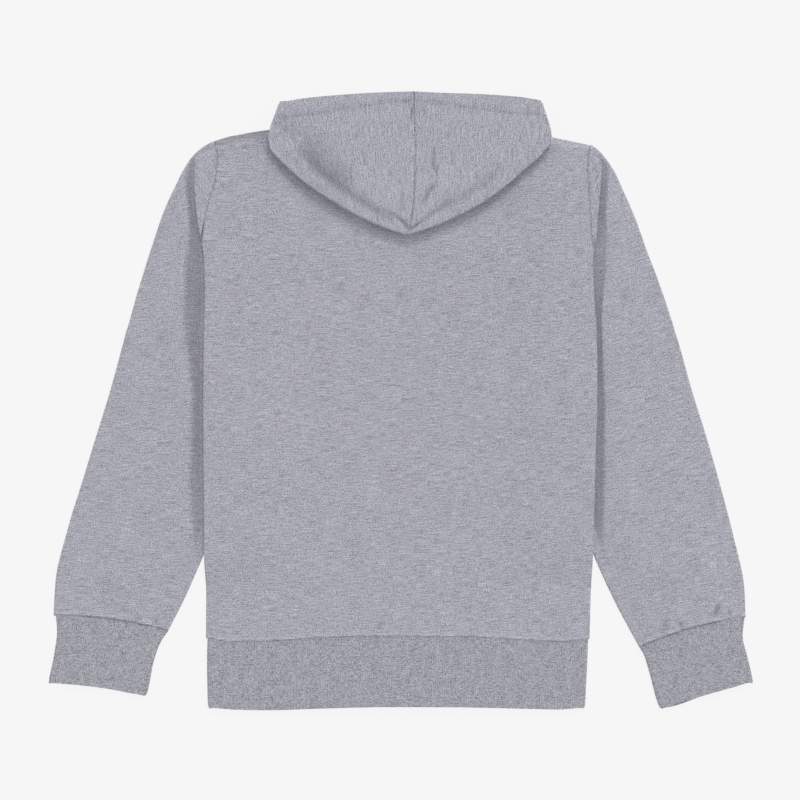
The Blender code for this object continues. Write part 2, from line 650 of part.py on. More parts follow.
def hem_rows():
    """The hem band, from the zip round the left side, across the back and round to the zip."""
    rows = []
    for t in HEM_ROWS:
        points = []
        ends = {}
        for side, end in ((LEFT, HEM[0]), (RIGHT, HEM[-1])):
            y = mix(end.seam, end.bottom, t)
            fold = read(BODY, "y", side.fold, y)
            zip_end = Vector((side.out * (PANEL_EDGE + SEAM), mix(FRONT_HEM, ZIP_END, t), RIB / 2))
            angles = (UNDER, -BEND, SIDE, BEND, TOP)
            turn = half_turn(side, fold, y, CUFF_TOP, RIB / 2, RIB, angles)
            front = [zip_end, *along(zip_end, turn[0], 3)]
            for point in front:
                point.y -= BENT_SEAM * (1 - t)
            ends[side.name] = front + turn
        low, high = ends["left"][-1], ends["right"][-1]
        for share in ACROSS:
            x = mix(low.x, high.x, share)
            y = mix(hem_line(x) - SEAM, hem_line(x, "bottom"), t)
            edge = min(x - low.x, high.x - x)
            points.append(Vector((x, y, mix(low.z, HEM_BACK, inwards(edge)))))
        for side in ends.values():
            for point in side[4:]:
                point.y -= SEAM * (1 - t)
        rows.append(ends["left"] + points + ends["right"][::-1])
    return rows


def bag_floor(x, y):
    """Middle of the hood's lower layer where it lies over the back."""
    return back_height(x, min(y, NECK_BASE)) + CLOTH + HOOD_CLEAR


def hover(distance):
    """How far the bag springs clear of the back, at a distance from its bottom fold."""
    return HOVER * (1 - ease(distance / HOVER_RUN))


def bag_path(side, index, row):
    """The hood's bag along one path: collar fold, lower layer, bottom fold, upper layer, rim."""
    collar, bottom, rim = (Vector((*p, 0)) for p in (row.collar, row.bottom, row.rim))
    lean = SEAM_BOW * (1 - index / (len(side.bag) - 1)) ** 2
    centre = side.out * CENTRE_GAP if index == 0 else 0.0
    down = (bottom - collar).normalized()
    top_z = bag_floor(collar.x, collar.y)
    radius = (top_z - SHOULDER_BACK) / 2
    points = [
        collar + Vector((0, 0, SHOULDER_BACK)),
        collar - down * radius + Vector((0, 0, SHOULDER_BACK + radius)),
        collar + Vector((0, 0, top_z)),
    ]
    inset = CLOTH / 2 + BAG_RISE / 2 * SNUG
    low_end = bottom - down * inset
    depth = (bottom - collar).length
    up = (rim - bottom).normalized()
    for t in BAG_UNDER:
        point = collar.lerp(low_end, t)
        point.z = bag_floor(point.x, point.y) + hover((1 - t) * depth)
        points.append(point)
    edge_z = points[-1].z
    turn = bottom - down * (CLOTH / 2)
    points.append(Vector((turn.x, turn.y, edge_z + BAG_RISE / 2)))
    high_start = bottom + up * inset
    length = (rim - high_start).length
    near_seam, near_rim = BAG_PUFF_LEAST
    for t in BAG_OVER:
        point = high_start.lerp(rim, t)
        point.x += lean * math.sin(math.pi * t**0.6)
        puff = BAG_PUFF * ease(t * length / BAG_PUFF_RUN[0])
        puff *= ease((1 - t) * length / BAG_PUFF_RUN[1] + near_rim)
        puff *= mix(near_seam, 1.0, ease(index / 2))
        clear = BAG_RISE + puff + hover(t * length)
        point.z = bag_floor(point.x, point.y) + clear
        points.append(point)
    for point in points:
        point.x += centre
    return points


def corner_path(side, count):
    """The rim going down round the corner of the hood."""
    x, y = side.corner
    low, high = CORNER_Z, bag_floor(x, y) + BAG_RISE
    radius = (high - low) / 2
    out = Vector((side.out * CORNER_WAY[0], CORNER_WAY[1], 0))
    points = []
    for i in range(count):
        angle = math.pi * (i / (count - 1) - 0.5)
        bulge = out * (CORNER_BULGE * math.cos(angle) - CLOTH)
        points.append(Vector((x, y, low + radius + radius * math.sin(angle))) + bulge)
    return points


def hood_patches(side):
    """The two grids of one hood half: the bag, and the band round the neck."""
    bag = [bag_path(side, i, row) for i, row in enumerate(side.bag)]
    bag.append(corner_path(side, len(bag[0])))
    band = []
    for row, path in zip(side.bag, bag):
        neck = Vector((*row.neck, SHOULDER_BACK)) + Vector((0, SEAM, 0))
        neck.x += side.out * CENTRE_GAP if row is side.bag[0] else 0.0
        band.append([neck, neck.lerp(path[0], 0.5), path[0]])
    neck_side = Vector((*side.neck[0], 0)) + Vector((-side.out * SEAM * 2, SEAM * 4, NECK_TOP_Z))
    band.append([neck_side, neck_side.lerp(bag[-1][0], 0.5), bag[-1][0]])
    for (nx, ny), (rx, ry) in zip(side.neck[1:], side.rim):
        neck = Vector((nx - side.out * SEAM * 2, ny + SEAM, FLOOR_LAYER))
        rim = Vector((rx, ry, FLOOR_LAYER))
        band.append([neck, neck.lerp(rim, 0.5), rim])
    return bag, band


def chain_height(y):
    """Middle of the chain, which rises where the slider and its tab lie under it."""
    start, run = CHAIN_LIFT
    return mix(CHAIN_LOW, CHAIN_HIGH, ease((y - start) / run))


def tape_rows(side):
    """Rows of a tape, sewn on inside the hem band and the front panel."""
    rows = []
    on_panel = CLOTH + SEAM + TAPE / 2
    on_band = RIB + SEAM + TAPE / 2
    start, run = TAPE_DIP
    for y in TAPE_STATIONS:
        low = mix(on_band, on_panel, ease((y - start) / run))
        inner = max(chain_height(y), low)
        places = ((TAPE_OUTER, low), (TAPE_STEP, low), (TAPE_INNER, inner))
        rows.append([Vector((side.out * x, y, z)) for x, z in places])
    return rows


def chain_rows():
    """Rows of the closed chain, from the box to the slider."""
    half = CHAIN_WIDTH / 2
    return [
        [Vector((x, y, chain_height(y))) for x in (-half, 0, half)] for y in CHAIN_STATIONS
    ]


def material(name, colour, roughness, metallic=0.0):
    """A plain material."""
    made = bpy.data.materials.new(name)
    made.use_nodes = True
    shader = made.node_tree.nodes["Principled BSDF"]
    shader.inputs["Base Color"].default_value = (*colour, 1)
    shader.inputs["Roughness"].default_value = roughness
    shader.inputs["Metallic"].default_value = metallic
    return made


def add_object(name, data, dress, collection):
    """An object made from a mesh or a curve."""
    made = bpy.data.objects.new(name, data)
    data.materials.append(dress)
    collection.objects.link(made)
    return made


def add_grid(bm, rows):
    """A grid whose vertices take the places of the rows' points."""
    across, down = len(rows[0]), len(rows)
    grid = bmesh.ops.create_grid(bm, x_segments=across - 1, y_segments=down - 1, size=1)
    verts = sorted(grid["verts"], key=lambda v: (round(-v.co.y, 4), round(v.co.x, 4)))
    for vert, point in zip(verts, (point for row in rows for point in row)):
        vert.co = point * MM


def add_cloth(name, patches, thick, dress, collection):
    """One cut piece of cloth, from the grids that make it up."""
    bm = bmesh.new()
    for rows in patches:
        add_grid(bm, rows)
    if len(patches) > 1:
        bmesh.ops.remove_doubles(bm, verts=bm.verts, dist=0.00001)
        bmesh.ops.recalc_face_normals(bm, faces=bm.faces)
    mesh = bpy.data.meshes.new(name)
    bm.to_mesh(mesh)
    bm.free()
    mesh.shade_smooth()
    made = add_object(name, mesh, dress, collection)
    wall = made.modifiers.new("Wall", "SOLIDIFY")
    wall.thickness = thick * MM
    wall.offset = 0
    return made


def add_box(block, dress, collection):
    """A box across the middle of the zip."""
    low = Vector((-block.half_width, block.start, block.low)) * MM
    high = Vector((block.half_width, block.end, block.high)) * MM
    bm = bmesh.new()
    bmesh.ops.create_cube(bm, size=1)
    bmesh.ops.scale(bm, verts=bm.verts, vec=high - low)
    mesh = bpy.data.meshes.new(block.name)
    bm.to_mesh(mesh)
    bm.free()
    made = add_object(block.name, mesh, dress, collection)
    made.location = (low + high) / 2
    return made


def add_slider(dress, collection, helpers):
    """Two plates joined by a wedge, with a bridge under the outer plate for the pull tab."""
    slider = add_box(OUTER_PLATE, dress, collection)
    corners = slider.modifiers.new("Corners", "BEVEL")
    corners.width = SLIDER_CORNER * MM
    corners.segments = 1
    for block in SLIDER_BLOCKS:
        helper = add_box(block, dress, helpers)
        helper.hide_render = True
        helper.display_type = "WIRE"
        join = slider.modifiers.new(block.name, "BOOLEAN")
        join.operation = "UNION"
        join.object = helper


def rounded(half_width, low, high, radius, steps):
    """Corners of a rectangle with rounded corners, anticlockwise."""
    points = []
    centres = (
        (half_width - radius, high - radius, 0),
        (radius - half_width, high - radius, 90),
        (radius - half_width, low + radius, 180),
        (half_width - radius, low + radius, 270),
    )
    for cx, cy, start in centres:
        for i in range(steps + 1):
            angle = math.radians(start + 90 * i / steps)
            points.append((cx + radius * math.cos(angle), cy + radius * math.sin(angle)))
    return points


def add_pull(dress, collection):
    """The pull tab, its origin on the hinge under the bridge."""
    curve = bpy.data.curves.new("zip_pull", "CURVE")
    curve.dimensions = "2D"
    curve.fill_mode = "BOTH"
    curve.extrude = TAB_HALF_THICK * MM
    outline = rounded(TAB_HALF_WIDTH, -TAB_LENGTH, TAB_HALF_THICK, TAB_CORNER, 1)
    end = rounded(TAB_HALF_WIDTH, -TAB_LENGTH, TAB_HALF_THICK, TAB_END_CORNER, 4)
    outline = outline[:4] + end[10:]
    eye = rounded(EYE_HALF_WIDTH, -EYE_LENGTH, -TAB_HALF_THICK, TAB_CORNER, 1)
    for points in (outline, eye):
        spline = curve.splines.new("POLY")
        spline.points.add(len(points) - 1)
        spline.use_cyclic_u = True
        for point, (x, y) in zip(spline.points, points):
            point.co = (x * MM, y * MM, 0, 1)
    made = add_object("zip_pull", curve, dress, collection)
    made.location = (0, HINGE_Y * MM, HINGE_Z * MM)


def new_collection(name):
    """A collection in the scene."""
    made = bpy.data.collections.new(name)
    bpy.context.scene.collection.children.link(made)
    return made


def build():
    """The whole hoodie, in a scene of its own."""
    for thing in list(bpy.data.objects):
        bpy.data.objects.remove(thing, do_unlink=True)
    hoodie = new_collection("zip_up_hoodie")
    helpers = new_collection("joined_pieces")
    marl = material("grey_marl_terry", (0.42, 0.42, 0.47), 0.95)
    rib = material("grey_marl_rib", (0.36, 0.36, 0.40), 0.95)
    tape = material("zip_tape_cloth", (0.34, 0.34, 0.37), 0.9)
    teeth = material("zip_chain_nylon", (0.30, 0.30, 0.32), 0.5)
    metal = material("zip_metal", (0.62, 0.62, 0.64), 0.35, 1.0)
    add_cloth("back_panel", [back_rows()], CLOTH, marl, hoodie)
    add_cloth("hem_band", [hem_rows()], RIB, rib, hoodie)
    for side in SIDES:
        add_cloth("front_" + side.name, [front_rows(side)], CLOTH, marl, hoodie)
        add_cloth("sleeve_" + side.name, [sleeve_rows(side)], CLOTH, marl, hoodie)
        add_cloth("cuff_" + side.name, [cuff_rows(side)], RIB, rib, hoodie)
        add_cloth("hood_" + side.name, hood_patches(side), CLOTH, marl, hoodie)
        add_cloth("zip_tape_" + side.name, [tape_rows(side)], TAPE, tape, hoodie)
    add_cloth("zip_chain", [chain_rows()], CHAIN_THICK, teeth, hoodie)
    box = Block("zip_box", BOX_HALF_WIDTH, ZIP_END, ZIP_END + BOX_LENGTH, *BOX_Z)
    add_box(box, metal, hoodie)
    add_slider(metal, hoodie, helpers)
    add_pull(metal, hoodie)


build()
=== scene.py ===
"""The looks of a zip-up hoodie that lies flat on its front, its hood spread over its back.

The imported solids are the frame. Each cut piece of cloth is rebuilt as a fine creased sheet on the form
of its solid, and the zip gets its coils, tapes, slider and pull tab. Sizes are in millimetres unless a
name or a comment says otherwise, and become metres where a mesh is made. Left and right are the
wearer's, so left is at -X while the garment lies face down.
"""

import json
import logging
import math
from dataclasses import dataclass, field
from enum import Enum
from typing import Any, Callable, NamedTuple, Sequence

import bmesh
import bpy
import numpy as np
from mathutils import Matrix, Vector

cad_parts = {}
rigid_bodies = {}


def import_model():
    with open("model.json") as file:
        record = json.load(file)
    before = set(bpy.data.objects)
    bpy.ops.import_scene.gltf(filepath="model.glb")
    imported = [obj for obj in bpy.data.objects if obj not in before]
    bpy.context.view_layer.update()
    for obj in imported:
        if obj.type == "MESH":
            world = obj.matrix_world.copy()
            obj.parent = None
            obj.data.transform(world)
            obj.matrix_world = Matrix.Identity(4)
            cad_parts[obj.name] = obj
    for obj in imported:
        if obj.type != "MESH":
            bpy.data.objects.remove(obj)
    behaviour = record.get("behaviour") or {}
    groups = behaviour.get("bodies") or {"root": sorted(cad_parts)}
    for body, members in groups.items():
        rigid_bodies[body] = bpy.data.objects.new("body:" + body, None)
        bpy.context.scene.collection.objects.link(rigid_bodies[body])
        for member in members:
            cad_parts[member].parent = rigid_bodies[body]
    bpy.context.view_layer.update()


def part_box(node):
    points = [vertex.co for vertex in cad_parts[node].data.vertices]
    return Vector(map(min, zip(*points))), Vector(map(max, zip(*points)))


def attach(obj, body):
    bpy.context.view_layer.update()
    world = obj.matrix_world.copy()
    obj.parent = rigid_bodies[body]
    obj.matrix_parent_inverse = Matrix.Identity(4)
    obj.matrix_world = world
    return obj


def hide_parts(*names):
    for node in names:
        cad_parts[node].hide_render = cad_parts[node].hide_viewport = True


for leftover in list(bpy.data.objects):
    bpy.data.objects.remove(leftover, do_unlink=True)
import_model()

log = logging.getLogger("hoodie")

Point = tuple[float, float]
Array = np.ndarray

MM = 0.001
TOP, SIDE, UNDER = math.pi / 2, 0.0, -math.pi / 2
LIP, BEND = math.radians(12), math.radians(50)
CUT_ANGLE = math.radians(62)  # least angle between faces at a cut edge of the cloth
JOINED = 0.00002  # metres within which the sheets of one piece are joined


class Body(Enum):
    """Bodies of the frame that a piece can ride on."""

    GARMENT = "garment"
    PULL_TAB = "pull_tab"


class Slot(Enum):
    """Material slots of the record."""

    TERRY = "marl_terry"
    RIB = "marl_rib"
    TAPE = "zip_tape"
    CHAIN = "zip_chain"
    METAL = "zip_metal"


class HeadKind(Enum):
    """How a section of a sleeve head lies."""

    PLAIN = "plain"  # above the fold
    FOLDED = "folded"  # folded over itself
    ROUND = "round"  # where the seam goes round the body's fold
    HIDDEN = "hidden"  # seam under the body


# Cut and lay of the garment ----------------------------------


class BodyRow(NamedTuple):
    """Folded edges of the flattened body and the side seams behind them, by height."""

    y: float
    left_fold: float
    right_fold: float
    left_seam: float
    right_seam: float


BODY = (
    BodyRow(-352, -221.9, 211.5, -200, 192),
    BodyRow(-314, -223.1, 213.5, -200, 193),
    BodyRow(-272, -224.3, 217, -201, 194),
    BodyRow(-220, -224, 218.3, -199, 192),
    BodyRow(-175, -226.5, 220.7, -196, 189),
    BodyRow(-115, -226.9, 222.3, -189, 185),
    BodyRow(-55, -227.3, 223.9, -182, 179),
    BodyRow(0, -227.7, 225.4, -175, 174),
    BodyRow(50, -227.4, 225.4, -170, 170),
    BodyRow(77, -227, 224.8, -170, 170),
    BodyRow(118, -225.8, 221.9, -170, 170),
    BodyRow(152, -226.2, 220.8, -170, 170),
    BodyRow(181, -229.3, 221.9, -170, 170),
    BodyRow(213, -235, 225.8, -170, 170),
    BodyRow(251, -238, 229.5, -170, 170),
    BodyRow(282, -236.2, 230, -170, 170),
)
LOWER_ROWS = (50, 0, -55, -115, -175, -222)


class Head(NamedTuple):
    """A section of a sleeve head: back seam, fold over itself, hidden fold, outer edge, front seam."""

    kind: HeadKind
    back: Point
    fold: Point | None
    hidden: Point | None
    outer: Point
    front: Point


PLAIN, FOLDED, ROUND, HIDDEN = HeadKind
LEFT_HEAD = (
    Head(PLAIN, (-213.6, 298.2), None, None, (-217, 297.8), (-213.6, 297.8)),
    Head(PLAIN, (-213.2, 294.5), None, None, (-222.5, 294.7), (-213, 294)),
    Head(PLAIN, (-211.8, 288), None, None, (-230.5, 289.6), (-212, 287)),
    Head(FOLDED, (-210.4, 280.6), (-236, 281), (-231, 281), (-239.6, 281.4), (-208, 279)),
    Head(FOLDED, (-211.6, 266.8), (-237.4, 266.6), (-227, 266.4), (-249.2, 267.6), (-203, 265)),
    Head(FOLDED, (-213.8, 250), (-238, 250), (-220, 249), (-257.6, 251), (-199, 248)),
    Head(FOLDED, (-219.8, 233), (-237.2, 232), (-213, 231), (-265.8, 234), (-195, 230)),
    Head(FOLDED, (-224.4, 213), (-235, 213), (-208, 213), (-273.6, 216), (-191, 211)),
    Head(FOLDED, (-227.6, 191), (-231.6, 191), (-204.5, 190), (-281.6, 193), (-186, 188)),
    Head(ROUND, (-229.3, 181), (-229.3, 181), (-202, 179), (-285.8, 180), (-184, 178)),
    Head(HIDDEN, (-216, 152), None, (-196, 150), (-295, 151), (-180, 149)),
    Head(HIDDEN, (-202, 118), None, (-188, 116), (-303.8, 122.5), (-176, 116)),
    Head(HIDDEN, (-181, 77), None, (-175.5, 75), (-313.4, 88), (-172.5, 76)),
)
RIGHT_HEAD = (
    Head(PLAIN, (216.4, 293.4), None, None, (219.8, 293.4), (216.2, 293)),
    Head(PLAIN, (216, 289.6), None, None, (224.6, 289.8), (215.8, 289)),
    Head(PLAIN, (215.2, 283.6), None, None, (231.8, 283), (213, 282)),
    Head(FOLDED, (214.3, 275), (230.4, 275), (225.4, 275), (238.4, 274.8), (209, 273)),
    Head(FOLDED, (213.9, 261.6), (230.2, 260), (220.5, 260), (247.6, 259.6), (204, 259)),
    Head(FOLDED, (215, 243.4), (229.2, 243), (213.5, 242), (255.3, 242.4), (199, 241)),
    Head(FOLDED, (216.2, 227.8), (227.6, 227), (207.5, 226), (262.4, 226.8), (195, 226)),
    Head(FOLDED, (217.4, 211), (226.2, 211), (202.5, 210), (269, 211), (191, 209)),
    Head(FOLDED, (218.6, 188), (224.4, 188), (198.5, 187), (277.4, 188), (186, 186)),
    Head(ROUND, (221.6, 171), (221.6, 171), (194.6, 170), (283.4, 171), (183, 169)),
    Head(HIDDEN, (210, 148), None, (190, 146), (292.3, 148), (180, 145)),
    Head(HIDDEN, (198, 115), None, (184, 113), (304.1, 115), (176, 113)),
    Head(HIDDEN, (181, 76), None, (175.5, 74), (312.9, 87.6), (172.5, 75)),
)
ROUND_ROW = 9
LAST_HEAD_ROW = len(LEFT_HEAD) - 1


class Tube(NamedTuple):
    """A section of a flattened tube: its inner and outer edges, and how far its middle bows up."""

    inner: Point
    outer: Point
    bow: float


LEFT_SLEEVE = (
    Tube((-175, 68), (-316.2, 79), 0),
    Tube((-171.5, 50), (-321, 61), 0),
    Tube((-183, 0), (-335.6, 8), 0),
    Tube((-191.5, -55), (-349.8, -38), 0),
    Tube((-201.5, -115), (-366.4, -92), 1),
    Tube((-226, -175), (-383.5, -148), 2),
    Tube((-250, -229.4), (-397.4, -208), 3.5),
    Tube((-267.4, -263), (-399.6, -246.2), 5),
)
RIGHT_SLEEVE = (
    Tube((175, 67), (315.3, 79.4), 0),
    Tube((171.5, 50), (320.8, 61.6), 0),
    Tube((182.5, 0), (335.2, 10), 0),
    Tube((190.5, -55), (350.6, -39), 0),
    Tube((199.5, -115), (367.4, -98), 1),
    Tube((220.6, -175), (382, -154), 2),
    Tube((246.4, -232), (394.8, -214), 3.5),
    Tube((273.5, -281.6), (396.4, -248.2), 5),
)
LEFT_CUFF = (
    Tube((-267.5, -263.35), (-396.8, -246.7), 5),
    Tube((-276.4, -277.5), (-395.6, -264.5), 3.2),
    Tube((-284.4, -300), (-399, -292), 1.4),
    Tube((-292.4, -338.4), (-405.4, -324.4), 2.4),
)
RIGHT_CUFF = (
    Tube((273.8, -282), (395, -248.9), 5),
    Tube((279.2, -292), (393, -270), 3),
    Tube((286.2, -315), (398, -292.5), 0.6),
    Tube((297.2, -353.2), (405, -323.8), 0.9),
)


class Hem(NamedTuple):
    """The hem band's seam and its lower edge along the back."""

    x: float
    seam: float
    bottom: float


HEM = (
    Hem(-224, -272.5, -352.8),
    Hem(-193, -276.4, -354.7),
    Hem(-157, -275.9, -355.5),
    Hem(-70, -270.3, -352.7),
    Hem(18, -269.7, -350.9),
    Hem(106, -271.6, -352.7),
    Hem(179, -276.9, -354.7),
    Hem(213, -273.2, -352.8),
)


class Edge(NamedTuple):
    """A point of the body's top edge, from the left shoulder tip to the right one."""

    x: float
    y: float


SHOULDER = (
    Edge(-213.6, 298.6),
    Edge(-189, 306.4),
    Edge(-171, 309.6),
    Edge(-151, 308.4),
    Edge(-93, 322),
    Edge(-67, 311.5),
    Edge(-32, 303),
    Edge(3.2, 300),
    Edge(38, 303),
    Edge(72, 311.5),
    Edge(100, 322),
    Edge(150, 308),
    Edge(187, 300.2),
    Edge(216.4, 293.8),
)
LEFT_NECK = ((-93, 322), (-88, 303), (-77, 281), (-54, 257), (-5.3, 241))
RIGHT_NECK = ((100, 322), (95, 303), (83, 281), (57, 257), (5.3, 241))


class Bag(NamedTuple):
    """A path over the hood: neck seam, fold of the collar, bottom fold, rim of the face opening."""

    neck: Point
    collar: Point
    bottom: Point
    rim: Point


LEFT_BAG = (
    Bag((3.2, 300), (5, 337), (6.7, 189.7), (14.8, 355.2)),
    Bag((-14.4, 301.5), (-14, 338), (-21, 199), (-12, 354.4)),
    Bag((-32, 303), (-38, 338.6), (-50, 212), (-40, 353.2)),
    Bag((-49.5, 307.3), (-64, 339), (-80.5, 230), (-68, 351.3)),
    Bag((-67, 311.5), (-91, 339), (-109, 249.2), (-96, 348.8)),
    Bag((-80, 316.8), (-112, 338.6), (-132.6, 269.8), (-117, 346.3)),
    Bag((-88, 320), (-124, 338), (-150.2, 290.6), (-130, 343.9)),
    Bag((-91.6, 321.4), (-130, 337.6), (-151.6, 300), (-138, 343.3)),
)
RIGHT_BAG = (
    Bag((3.2, 300), (5, 337), (6.7, 189.7), (14.8, 355.2)),
    Bag((20.6, 301.5), (30, 338), (37.1, 199.8), (43, 353.6)),
    Bag((38, 303), (56, 338.8), (66.9, 212.8), (70, 352.8)),
    Bag((55, 307.3), (80, 339.4), (95.1, 228.2), (94, 351.8)),
    Bag((72, 311.5), (104, 340), (121, 247), (117, 350.4)),
    Bag((86, 316.8), (125, 340), (143.2, 266.6), (137, 348.4)),
    Bag((94, 319.8), (140, 339.6), (161, 282.6), (150.6, 346.2)),
    Bag((98, 321.2), (150, 339.4), (172.2, 301), (160, 344)),
)


class Trough(NamedTuple):
    """The trough of a sleeve beside the fold that lies on it, by height."""

    y: float
    reach: float
    soft: float
    depth: float


LEFT_TROUGH = (
    Trough(285, 5, 6, 0.3),
    Trough(255, 9, 9, 0.9),
    Trough(215, 8, 6, 1),
    Trough(195, 11, 8, 1),
    Trough(175, 17, 8, 0.9),
    Trough(150, 22, 8, 0.9),
    Trough(120, 22, 7, 0.95),
    Trough(90, 23, 9, 0.85),
    Trough(60, 18, 8, 0.95),
    Trough(30, 15, 8, 0.9),
    Trough(0, 11, 10, 1),
    Trough(-30, 13, 10, 1),
    Trough(-60, 14, 6, 0.9),
    Trough(-90, 16, 7, 0.75),
    Trough(-120, 15, 7, 0.7),
    Trough(-150, 13, 6, 0.7),
    Trough(-180, 9, 6, 0.5),
    Trough(-205, 5, 6, 0),
)
RIGHT_TROUGH = (
    Trough(285, 5, 5, 0.2),
    Trough(255, 7, 4, 0.7),
    Trough(215, 8.5, 4, 0.95),
    Trough(195, 11, 6, 0.7),
    Trough(175, 13, 5, 0.55),
    Trough(150, 14, 4, 0.75),
    Trough(120, 10, 4, 0.95),
    Trough(90, 6, 3.5, 1),
    Trough(60, 6, 3.5, 1),
    Trough(30, 6.5, 4.5, 1),
    Trough(0, 8.5, 5, 0.95),
    Trough(-60, 9.5, 6, 1),
    Trough(-120, 10.5, 6, 0.95),
    Trough(-150, 10.5, 6, 0.9),
    Trough(-180, 9, 5, 0.6),
    Trough(-205, 5, 5, 0),
)

ACROSS = (0.06, 0.15, 0.28, 0.4, 0.5, 0.6, 0.72, 0.85, 0.94)
TOP_ACROSS = (-150.0, -93.0, -67.0, -32.0, 3.2, 38.0, 72.0, 100.0, 150.0)
SHOULDER_ACROSS = (0.0, 0.08, 0.22, 0.5)


# Small geometry ----------------------------------------------


def mix(a: Any, b: Any, t: Any) -> Any:
    """A share of the way from one value to another."""
    return a + (b - a) * t


def ease(t: Any) -> Any:
    """0 to 1 as t goes from 0 to 1, level at both ends."""
    t = np.clip(t, 0.0, 1.0)
    return t * t * (3 - 2 * t)


def bell(distance: Any, width: Any) -> Any:
    """1 at no distance, fading to nothing over about twice the width."""
    return np.exp(-((distance / width) ** 2))


def column(table: Sequence[Any], name: str) -> list[float]:
    """One named column of a table."""
    return [getattr(row, name) for row in table]


def xyz(place: Sequence[float], z: float) -> Array:
    """A point over a place on the floor."""
    return np.array((place[0], place[1], z), float)


def along(a: Array, b: Array, count: int) -> list[Array]:
    """Points spaced evenly between two others."""
    return [mix(a, b, i / (count + 1)) for i in range(1, count + 1)]


def run_of(line: Any) -> Array:
    """Distance of each point of a line from its start, along the line."""
    steps = np.linalg.norm(np.diff(line, axis=0), axis=1)
    return np.concatenate([[0.0], np.cumsum(steps)])


def x_at(y: Any, places: Sequence[Point]) -> Any:
    """X at a height, read from places that run down the garment."""
    line = np.array(places)
    return np.interp(-np.asarray(y), -line[:, 1], line[:, 0])


def half_turn(
    edge: Point,
    out: float,
    top: float,
    low: float,
    thick: float,
    angles: Sequence[float],
    snug: float = 1.0,
) -> list[Array]:
    """Points round the fold of a flattened layer.

    Args:
        edge: where the outer face of the fold reaches.
        out: 1 where the fold faces +X, -1 where it faces -X.
        top: height of the middle of the upper layer.
        low: height of the middle of the lower layer.
        thick: thickness of the cloth.
        angles: where the points lie round the fold.
        snug: breadth of the fold as a share of its height.

    Returns:
        The points, one for each angle.
    """
    radius = (top - low) / 2
    deep = radius * snug
    centre = edge[0] - out * (thick / 2 + deep)
    height = (top + low) / 2
    return [
        np.array((centre + out * deep * math.cos(a), edge[1], height + radius * math.sin(a)))
        for a in angles
    ]


def monotone(values: Array, stations: Array, at: Array) -> Array:
    """A smooth curve through points that never swings past them.

    Args:
        values: the points, a row for each station.
        stations: places of the points along the curve, rising.
        at: places to read.

    Returns:
        A row of values for each place read.
    """
    step = np.diff(stations)
    slope = np.diff(values, axis=0) / step[:, None]
    before, after = slope[:-1], slope[1:]
    far = (2 * step[1:] + step[:-1])[:, None]
    near = (step[1:] + 2 * step[:-1])[:, None]
    with np.errstate(divide="ignore", invalid="ignore"):
        blended = (far + near) / (far / before + near / after)
    inner = np.where(before * after > 0, blended, 0.0)
    tangent = np.vstack([slope[:1], inner, slope[-1:]])
    i = np.clip(np.searchsorted(stations, at, side="right") - 1, 0, len(step) - 1)
    t = ((at - stations[i]) / step[i])[:, None]
    width = step[i][:, None]
    start = (1 + 2 * t) * (1 - t) ** 2 * values[i] + t * (1 - t) ** 2 * width * tangent[i]
    return start + t * t * (3 - 2 * t) * values[i + 1] + t * t * (t - 1) * width * tangent[i + 1]


def stations_of(
    lengths: Array, spacing: float, least: int, close: tuple[Sequence[float], Sequence[float]]
) -> tuple[Array, Array, Array]:
    """Where to read a curve so that its points are no more than a spacing apart.

    Args:
        lengths: for each gap between the known points, its typical and its longest length.
        spacing: most distance between the points that are read.
        least: fewest steps in a gap.
        close: distances from the start and from the end where a point is wanted too.

    Returns:
        The known points' stations, the stations to read, and the same counted in known points.
    """
    known = np.concatenate([[0.0], np.cumsum(np.maximum(lengths[0], 1e-3))])
    counts = [max(least, math.ceil(longest / spacing)) for longest in lengths[1]]
    wanted = np.array([*close[0], *(known[-1] - distance for distance in close[1])])
    even = [mix(a, b, j / n) for a, b, n in zip(known, known[1:], counts) for j in range(1, n)]
    even += list(known[1:-1])
    even = [at for at in even if not np.any(np.abs(wanted - at) < 0.3)]
    at = np.unique([0.0, known[-1], *even, *wanted])
    return known, at, np.interp(at, known, np.arange(len(known)))


# Sheets of cloth ---------------------------------------------


@dataclass(frozen=True)
class Crease:
    """A soft ridge along a line on the cloth, or a trough where its height is negative.

    Attributes:
        path: points of the line.
        height: rise at its middle.
        width: half its breadth.
        fade_in: share of its length over which it comes up.
        fade_out: share of its length over which it dies away.
    """

    path: tuple[Point, ...]
    height: float
    width: float
    fade_in: float = 0.35
    fade_out: float = 0.35

    def rise(self, x: Array, y: Array) -> Array:
        """How far it lifts the cloth at each place."""
        nearest = np.full(x.shape, np.inf)
        place = np.zeros(x.shape)
        spans = [math.dist(a, b) for a, b in zip(self.path, self.path[1:])]
        run = 0.0
        for (ax, ay), (bx, by), span in zip(self.path, self.path[1:], spans):
            dx, dy = bx - ax, by - ay
            t = np.clip(((x - ax) * dx + (y - ay) * dy) / span**2, 0, 1)
            distance = np.hypot(x - ax - t * dx, y - ay - t * dy)
            closer = distance < nearest
            nearest = np.where(closer, distance, nearest)
            place = np.where(closer, (run + t * span) / sum(spans), place)
            run += span
        fade = ease(place / self.fade_in) * ease((1 - place) / self.fade_out)
        return self.height * bell(nearest, self.width) * fade


